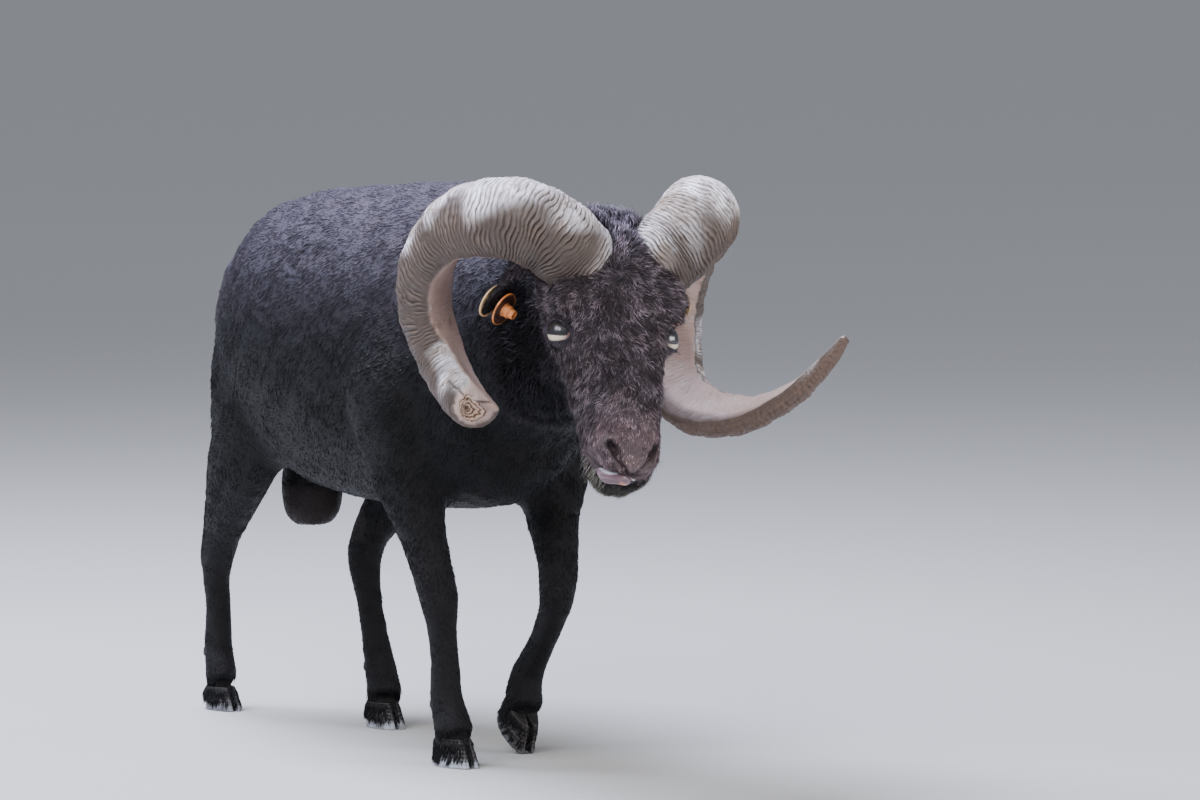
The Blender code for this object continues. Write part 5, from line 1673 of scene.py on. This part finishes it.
@dataclass
class Foot:
    """Two claws and two dewclaws of a leg."""

    name: str
    length: float = 0.046
    width: float = 0.0137
    height: float = 0.0230
    spacing: float = 0.0034
    inner_wall: float = 0.30
    toe_pinch: float = 0.20
    top_shrink: float = 0.78
    top_shift: float = 0.0070
    dewclaw_bevel: float = 0.0026
    dewclaw_tuck: float = 0.0026
    dewclaw_rounds: int = 24
    wall_hairs: int = 1300
    sides: int = 56
    levels: int = 40
    PALENESS = {"foreleg_right": 1.0, "foreleg_left": 0.12, "hindleg_right": 0.35, "hindleg_left": 0.9}
    DARK = np.array((0.040, 0.036, 0.038))
    LIGHT = np.array((0.330, 0.350, 0.400))

    def world(self, local: Array, shift: bool = True) -> Array:
        """The foot's coordinates, or its directions, in the model."""
        axes = foot_axes(self.name)
        return local @ axes[:3, :3].T + (axes[:3, 3] if shift else 0.0)

    def wall(self, side: int) -> tuple[Array, Array]:
        """Places and normals on the upper wall of a claw, where hair hangs over it."""
        rng = np.random.default_rng(SEED + 30 + side + 4 * list(FEET).index(self.name))
        angle = rng.uniform(0, 2 * np.pi, self.wall_hairs)
        angle = angle[np.sin(angle) > -0.30]
        level = 1.0 - (0.70 if self.name.startswith("fore") else 0.55) * rng.uniform(0, 1, len(angle)) ** 1.9
        shrink = 1 + (self.top_shrink - 1) * level
        pinch = 1 - self.toe_pinch + self.toe_pinch * np.cos(angle)
        x = side * (self.spacing + np.sin(angle) * self.width * shrink * pinch)
        y = np.cos(angle) * self.length / 2 * shrink + self.top_shift * level
        roots = self.world(np.stack([x, y, self.height * level], axis=1))
        steep = np.full(len(angle), 12.0)
        way = np.stack([side * np.sin(angle) / self.width, np.cos(angle) / (self.length / 2), steep], axis=1)
        return roots, unit(self.world(way, shift=False))

    def claw(self, side: int) -> tuple[Array, Array, Array]:
        """Points, triangles and height shares of one claw."""
        angle = circle(self.sides)
        width = np.where(np.sin(angle) < 0, self.inner_wall, 1.0) * np.sin(angle)
        pinch = 1 - self.toe_pinch + self.toe_pinch * np.cos(angle)
        rings, shares = [], []
        rows = [(t, 1.0) for t in np.linspace(0.02, 1, self.levels)]
        for level, inward in [(0.0, 0.35), (0.0, 0.72), (0.0, 0.94), *rows, (1.0, 0.8), (1.0, 0.4)]:
            shrink = (1 + (self.top_shrink - 1) * level) * inward
            layered = 0.1 < level < 0.97 and inward == 1.0
            wave = 1 + 0.010 * np.sin(level * 46 + 1.4 * np.cos(angle)) * layered
            flare = 1 + 0.03 * bell(np.array(level - 0.02), 0.10)
            x = side * (self.spacing + width * self.width * shrink * pinch * wave * flare)
            y = np.cos(angle) * self.length / 2 * shrink * wave + self.top_shift * level
            z = np.full(self.sides, self.height * level) + (0.0006 if level == 0 and inward < 0.9 else 0.0)
            rings.append(np.stack([x, y, z], axis=1))
            shares.append(np.full(self.sides, level))
        points, faces = tube(np.array(rings))
        points = self.world(points)
        points[:, 2] = np.maximum(points[:, 2], 0.0)
        return points, faces, np.append(np.concatenate(shares), [0.0, 1.0])

    def dewclaw(self, node: str) -> tuple[Array, Array]:
        """A blunt rounded cone over its CAD node's place."""
        shell = merged_copy(node, 0.0)
        bmesh.ops.bevel(
            shell, geom=shell.edges[:], offset=self.dewclaw_bevel, offset_type="OFFSET", segments=4,
            profile=0.5, affect="EDGES", material=-1, clamp_overlap=True,
        )
        bmesh.ops.triangulate(shell, faces=shell.faces)
        points, faces = arrays_of(shell)
        points = relax(points, faces, self.dewclaw_rounds, 0.5)
        middle = points.mean(0)
        leg = merged_copy(f"{self.name}_lower", 0.0)
        pastern = np.array([vert.co for vert in leg.verts if abs(vert.co.z - middle[2]) < 0.014])
        leg.free()
        inward = (pastern.min(0) + pastern.max(0)) / 2 - middle
        return points + unit(inward * (1, 1, 0)) * self.dewclaw_tuck, faces

    def build(self, finishes: Finishes) -> None:
        """Make and dress the claws and dewclaws."""
        pale = self.PALENESS[self.name]
        for side, label in ((-1, "right"), (1, "left")):
            points, faces, share = self.claw(side)
            mix = np.clip(smoothstep(0.42, 0.12, share) * pale + 0.12 * waves(points, 0.008, 5), 0, 1)
            shade = 1 - 0.75 * smoothstep(0.45, 0.80, share)
            colour = (self.DARK + (self.LIGHT - self.DARK) * mix[:, None]) * shade[:, None]
            self.piece(f"{self.name}_claw_{label}", points, faces, colour, finishes)
            node = f"{self.name}_dewclaw_{label}"
            points, faces = self.dewclaw(node)
            self.piece(node, points, faces, np.tile(self.DARK * 0.3, (len(points), 1)), finishes)

    @staticmethod
    def piece(node: str, points: Array, faces: Array, colour: Array, finishes: Finishes) -> None:
        """Make and dress the piece that stands for a node."""
        thing = make_object(node + "_horn", points, faces)
        store(thing, "marking", colour)
        finishes.finish(thing, Finish.HOOF, node)


@dataclass
class Tongue:
    """The tongue's tip, with a wavy rim painted pale as a wet highlight."""

    stations: tuple = (
        (0.1807, 0.0470, -0.0080, 0.0100, 0.0022), (0.1905, 0.0408, -0.0085, 0.0128, 0.0032),
        (0.2002, 0.0347, -0.0088, 0.0148, 0.0042), (0.2072, 0.0298, -0.0088, 0.0142, 0.0045),
        (0.2095, 0.0262, -0.0088, 0.0085, 0.0030),
    )
    rim: tuple = (
        (-0.0172, 0.0111), (-0.0118, 0.0059), (-0.0065, 0.0037), (-0.0012, 0.0042), (0.0031, 0.0053),
        (0.0063, 0.0047), (0.0106, 0.0005), (0.0122, -0.0016),
    )
    sides: int = 64
    FLESH = np.array((0.140, 0.085, 0.105))
    # Painted wet highlight: pale bluish laid along the tongue's upper rim.
    PALE = np.array((0.560, 0.590, 0.700))
    RED = np.array((0.500, 0.220, 0.160))

    def build(self, finishes: Finishes) -> None:
        """Loft, wave, colour and dress the tongue."""
        rows = track(self.stations, 0.0006)
        angle = circle(self.sides)
        shares = np.linspace(0, 1, len(rows))
        wave = 0.0007 * np.sin(4 * angle + 9 * shares[:, None]) * smoothstep(0.4, 0.8, shares)[:, None]
        out = rows[:, None, :3] + np.array((0, 0, 1)) * (np.cos(angle) * rows[:, 3:4])[..., None]
        low = np.minimum(np.sin(angle), 0.0)
        hollow = 0.55 * rows[:, 4:5] * bell(low + 0.45, 0.30) * smoothstep(0.2, 0.6, shares)[:, None]
        height = np.sin(angle) * rows[:, 4:5] + wave
        rings = HEAD.world(out - MOUTH_FORWARD * hollow[..., None] + MOUTH_NORMAL * height[..., None])
        points, faces = tube(rings)
        thing = make_object("tongue_tip", points, faces)
        top = np.append(np.broadcast_to(np.sin(angle), height.shape).ravel(), [0.0, 0.4])
        away = points - HEAD.world(np.array(self.stations[3][:3]))
        across, high = away @ VIEW_RIGHT, away @ VIEW_UP
        edge = np.interp(across, *np.array(self.rim).T)
        # Above the drawn edge the tongue is painted pale bluish: painted wet highlight on its rim.
        rim = smoothstep(-0.0004, 0.0008, high - edge)[:, None]
        line = bell(high - edge + 0.0088, 0.0009)[:, None] * (top < 0.6)[:, None]
        colour = self.FLESH * (1 - rim) + self.PALE * rim
        store(thing, "marking", colour * (1 - line) + self.RED * line)
        finishes.finish(thing, Finish.TONGUE, "tongue")


@dataclass
class EarTag:
    """A two-part ear tag: a front disc with a hollow stepped hub and a back disc."""

    label: str
    side: int
    axis: tuple = (0.676, -0.362, -0.642)
    place: tuple = (0.0400, 0.0695, 0.0812)
    radius: float = 0.0140
    thickness: float = 0.0016
    spread: float = 0.0058
    steps: int = 72
    BRIGHT = np.array((0.700, 0.230, 0.060))
    # Painted shade with some grime, for the front disc's face.
    GRIMY = np.array((0.030, 0.012, 0.007))
    CREAM = (0.640, 0.430, 0.220)

    def shell(self, profile: list[tuple], offset: float) -> tuple[Array, Array]:
        """Spin a closed profile of radius and height round the tag's axis."""
        shell = bmesh.new()
        line = [shell.verts.new((r, 0.0, h)) for r, h in profile]
        edges = [shell.edges.new(pair) for pair in zip(line, line[1:])]
        bmesh.ops.spin(
            shell, geom=line + edges, cent=(0, 0, 0), axis=(0, 0, 1),
            angle=2 * math.pi, steps=self.steps, use_merge=True,
        )
        bmesh.ops.remove_doubles(shell, verts=shell.verts, dist=1e-6)
        bmesh.ops.triangulate(shell, faces=shell.faces)
        axis = Vector(self.axis).normalized()
        turn = axis.to_track_quat("Z", "X").to_matrix().to_4x4()
        shift = Vector(EAR_LEFT_SHIFT) if self.side > 0 else Vector()
        shell.transform(Matrix.Translation(Vector(self.place) + shift + axis * offset) @ turn)
        shell.transform(Matrix.Diagonal((1.0, 1.0, self.side, 1.0)))
        shell.normal_update()
        bmesh.ops.recalc_face_normals(shell, faces=shell.faces)
        points, faces = arrays_of(shell)
        return HEAD.world(points), faces

    def tint(self, points: Array, word: str) -> Array:
        """Bright rim and hub, and a dark face on the front disc: painted shade with some grime."""
        if word == "back":
            return np.tile(self.CREAM, (len(points), 1))
        axis = unit(np.array(self.axis))
        shift = EAR_LEFT_SHIFT if self.side > 0 else 0.0
        away = HEAD.local(points) * (1.0, 1.0, self.side) - np.array(self.place) - shift
        radius = np.linalg.norm(away - (away @ axis)[:, None] * axis, axis=1)
        face = smoothstep(0.0056, 0.0060, radius) * smoothstep(0.0134, 0.0128, radius)
        face = face * (away @ axis > self.spread + 0.0010)
        return self.BRIGHT + (self.GRIMY - self.BRIGHT) * face[:, None]

    def build(self, finishes: Finishes) -> None:
        """Make and dress both halves."""
        r, t = self.radius, self.thickness
        plate = [
            (0.0, 0.0), (r - 0.0004, 0.0), (r - 0.0001, 0.0002), (r, 0.0006), (r - 0.0001, t - 0.0002),
            (r - 0.0005, t), (r - 0.0014, t), (r - 0.0018, t - 0.0003), (r - 0.0026, t - 0.0003),
            (r - 0.0030, t),
        ]
        hub = [
            (0.0098, t), (0.0063, t), (0.0055, t + 0.0003), (0.0052, 0.0026), (0.0051, 0.0070),
            (0.0049, 0.0074), (0.0042, 0.0076), (0.0040, 0.0080), (0.0038, 0.0111), (0.0036, 0.0115),
            (0.0027, 0.0115), (0.0025, 0.0113), (0.0023, 0.0050), (0.0, 0.0048),
        ]
        pin = [(0.0050, t), (0.0046, t - 0.0004), (0.0, t - 0.0004)]
        halves = (
            ("front", plate + hub, self.spread, Finish.ORANGE),
            ("back", plate + pin, -self.spread - t, Finish.CREAM),
        )
        for word, profile, offset, finish in halves:
            points, faces = self.shell(profile, offset)
            thing = make_object(f"tag_{self.label}_{word}_disc", points, faces)
            store(thing, "marking", self.tint(points, word))
            thing.data.set_sharp_from_angle(angle=math.radians(38))
            finishes.finish(thing, finish, f"tag_{self.label}_{word}")


@dataclass
class Whiskers:
    """A few single hairs: lashes, white hairs at the mouth and dark ones on the chin."""

    sides: int = 3
    levels: int = 5
    lash_width: float = 0.00022
    hair_width: float = 0.00020
    parts: list = field(default_factory=list)
    tints: list = field(default_factory=list)
    LASH = (0.012, 0.010, 0.011)
    DOWN = np.array((0.0, 0.0, -1.0))
    LIDS = ((34, 1.0, 0.0065, EYES.above, 1.2), (22, -1.0, 0.0050, EYES.below, 0.7))
    MOUTH = (
        (0.0022, 0.0120, 70, 0.0110, (0.55, 0.53, 0.50)),
        (-0.0100, -0.0024, 34, 0.0080, (0.10, 0.09, 0.09)),
        (0.0060, 0.0180, 110, 0.0050, (0.20, 0.19, 0.11)),
    )

    def strands(
        self, roots: Array, ways: Array, bends: Array, lengths: Array, width: float, tint: tuple,
    ) -> None:
        """Add bent, tapered strands.

        Args:
            roots: Where they root, shape (n, 3).
            ways: Unit vectors along which they leave.
            bends: How the tips bend, in metres, shape (n, 3).
            lengths: Their lengths.
            width: Their thickness at the root.
            tint: Their colour.
        """
        turn = circle(self.sides)[:, None]
        for root, way, bend, length in zip(roots, ways, bends, lengths):
            across = unit(np.cross(way, (0.3, 0.2, 0.9)))
            ring = np.cos(turn) * across + np.sin(turn) * np.cross(way, across)
            rings = np.array([
                root + way * length * t + bend * t * t + ring * (width / 2 * (1 - 0.9 * t))
                for t in np.linspace(0, 1, self.levels)
            ])
            self.parts.append(tube(rings))
            self.tints.append(tint)

    def lashes(self, rng: np.random.Generator) -> None:
        """Hairs on both lids of both eyes."""
        for side in (-1, 1):
            centre, axes = EYES.axes(side)
            for count, sign, reach, high, droop in self.LIDS:
                turn = np.linspace(0.16, 0.84, count) * np.pi * sign + rng.normal(0, 0.03, count)
                u = np.cos(turn) * EYES.half_width * 1.06
                v = np.sin(turn) * high * 1.08
                w = EYES.lid_height(u, v, 0.0) + 0.0010
                roots = np.stack([u, v, w], 1) @ axes + centre
                ways = np.stack([0.35 * np.cos(turn), 0.55 * np.sin(turn), np.full(count, 0.75)], 1) @ axes
                ways = unit(ways + rng.normal(0, 0.10, (count, 3)))
                bends = self.DOWN * 0.0022 * droop + rng.normal(0, 0.0004, (count, 3))
                lengths = reach * rng.uniform(0.7, 1.2, count)
                self.strands(roots, ways, bends, lengths, self.lash_width, self.LASH)

    def build(self, skin: Skin, finishes: Finishes) -> None:
        """Grow every strand from the skin."""
        rng = np.random.default_rng(SEED + 9)
        self.lashes(rng)
        zones, normals, points = skin.zones, skin.normals, skin.points
        lips = (zones.head > 0.9) & (zones.mouth_forward > -0.002) & (zones.mouth_forward < 0.03)
        below = -zones.mouth
        for low, high, count, reach, colour in self.MOUTH:
            chosen = rng.choice(np.nonzero(lips & (below > low) & (below < high))[0], count)
            ways = unit(normals[chosen] + 0.9 * self.DOWN + rng.normal(0, 0.25, (count, 3)))
            bends = self.DOWN * 0.0015 + rng.normal(0, 0.0008, (count, 3))
            lengths = reach * rng.uniform(0.5, 1.2, count)
            self.strands(points[chosen], ways, bends, lengths, self.hair_width, colour)
        points, faces = joined(self.parts)
        each = self.levels * self.sides + 2
        number = np.arange(len(points))
        thing = make_object("coat_whiskers", points, faces)
        store(thing, "marking", np.repeat(self.tints, each, axis=0))
        store(thing, "tone", np.full(len(points), 0.55))
        store(thing, "along", np.full(len(points), 0.7))
        corner = (number % each)[:, None] * np.array((0.00003, 0.00015))
        bake_map(thing, head_chart(HEAD.local(points)[number // each * each]) + corner, faces)
        finishes.finish(thing, Finish.COAT)


@dataclass
class Studio:
    """Floor, soft light and the camera at the photo's angle."""

    camera_place: tuple = (-2.261, -4.8146, 0.665)
    lens: float = 189.0
    floor_half: float = 200.0
    look_down: float = 450 / 6300
    look_turn_degrees: float = -27.0
    lit_place: tuple = (0.0, -0.05, 0.28)
    sky: tuple = (0.86, 0.90, 1.0, 1.0)
    sky_strength: float = 0.30

    def build(self, finishes: Finishes) -> None:
        """Set up everything that isn't the ram."""
        points = np.array(((-1, -1, 0), (1, -1, 0), (1, 1, 0), (-1, 1, 0)), float) * self.floor_half
        floor = make_object("floor", points, np.array(((0, 1, 2, 3),)), smooth=False)
        finishes.dress(floor, Finish.FLOOR)
        camera = bpy.data.cameras.new("camera")
        camera.lens = self.lens
        camera.sensor_width = 36.0
        camera.clip_end = 500
        eye = bpy.data.objects.new("camera", camera)
        bpy.context.scene.collection.objects.link(eye)
        eye.location = Vector(self.camera_place) + Vector(SHIFT)
        pitch = math.pi / 2 - math.atan(self.look_down)
        eye.rotation_euler = (pitch, 0.0, math.radians(self.look_turn_degrees))
        bpy.context.scene.camera = eye
        world = bpy.data.worlds.new("studio")
        world.use_nodes = True
        background = world.node_tree.nodes["Background"]
        background.inputs["Color"].default_value = self.sky
        background.inputs["Strength"].default_value = self.sky_strength
        bpy.context.scene.world = world
        self.light("top", (-0.5, 0.9, 2.6), 1.6, 222.0, (0.76, 0.80, 1.0))
        self.light("side", (-2.02, -1.22, 2.02), 1.2, 96.0, (0.97, 0.97, 1.0), 2.5)
        self.light("key", (-1.7, -2.6, 2.0), 0.9, 14.0, (1.0, 0.96, 0.92))
        self.light("fill", (1.9, -2.4, 1.0), 1.1, 56.0, (1.0, 0.96, 0.94))

    def light(
        self, name: str, place: tuple, size: float, power: float, colour: tuple, stretch: float = 1.0,
    ) -> None:
        """A soft lamp, square or stretched sideways, that looks at the ram."""
        lamp = bpy.data.lights.new(name, "AREA")
        lamp.shape = "RECTANGLE"
        lamp.size = size * stretch
        lamp.size_y = size
        lamp.energy = power
        lamp.color = colour
        thing = bpy.data.objects.new(name, lamp)
        thing.location = place
        towards = Vector(self.lit_place) - Vector(place)
        thing.rotation_euler = towards.to_track_quat("-Z", "Y").to_euler()
        bpy.context.scene.collection.objects.link(thing)


def main() -> None:
    """Build the ram, piece by piece, and the studio round it."""
    finishes = Finishes()
    skin = Skin()
    skin.dress(skin.build(), finishes)
    for side, label, stations in ((-1, "right", HORN_RIGHT), (1, "left", HORN_LEFT)):
        horn = Horn(label, side, stations)
        horn.dress(horn.build(), finishes)
        eye = Eye(label, side)
        eye.dress(eye.build(), finishes)
        EarTag(label, side).build(finishes)
    for name in FEET:
        Foot(name).build(finishes)
    Tongue().build(finishes)
    Coat(skin).build(finishes)
    Whiskers().build(skin, finishes)
    Studio().build(finishes)


if __name__ == "__main__":
    main()
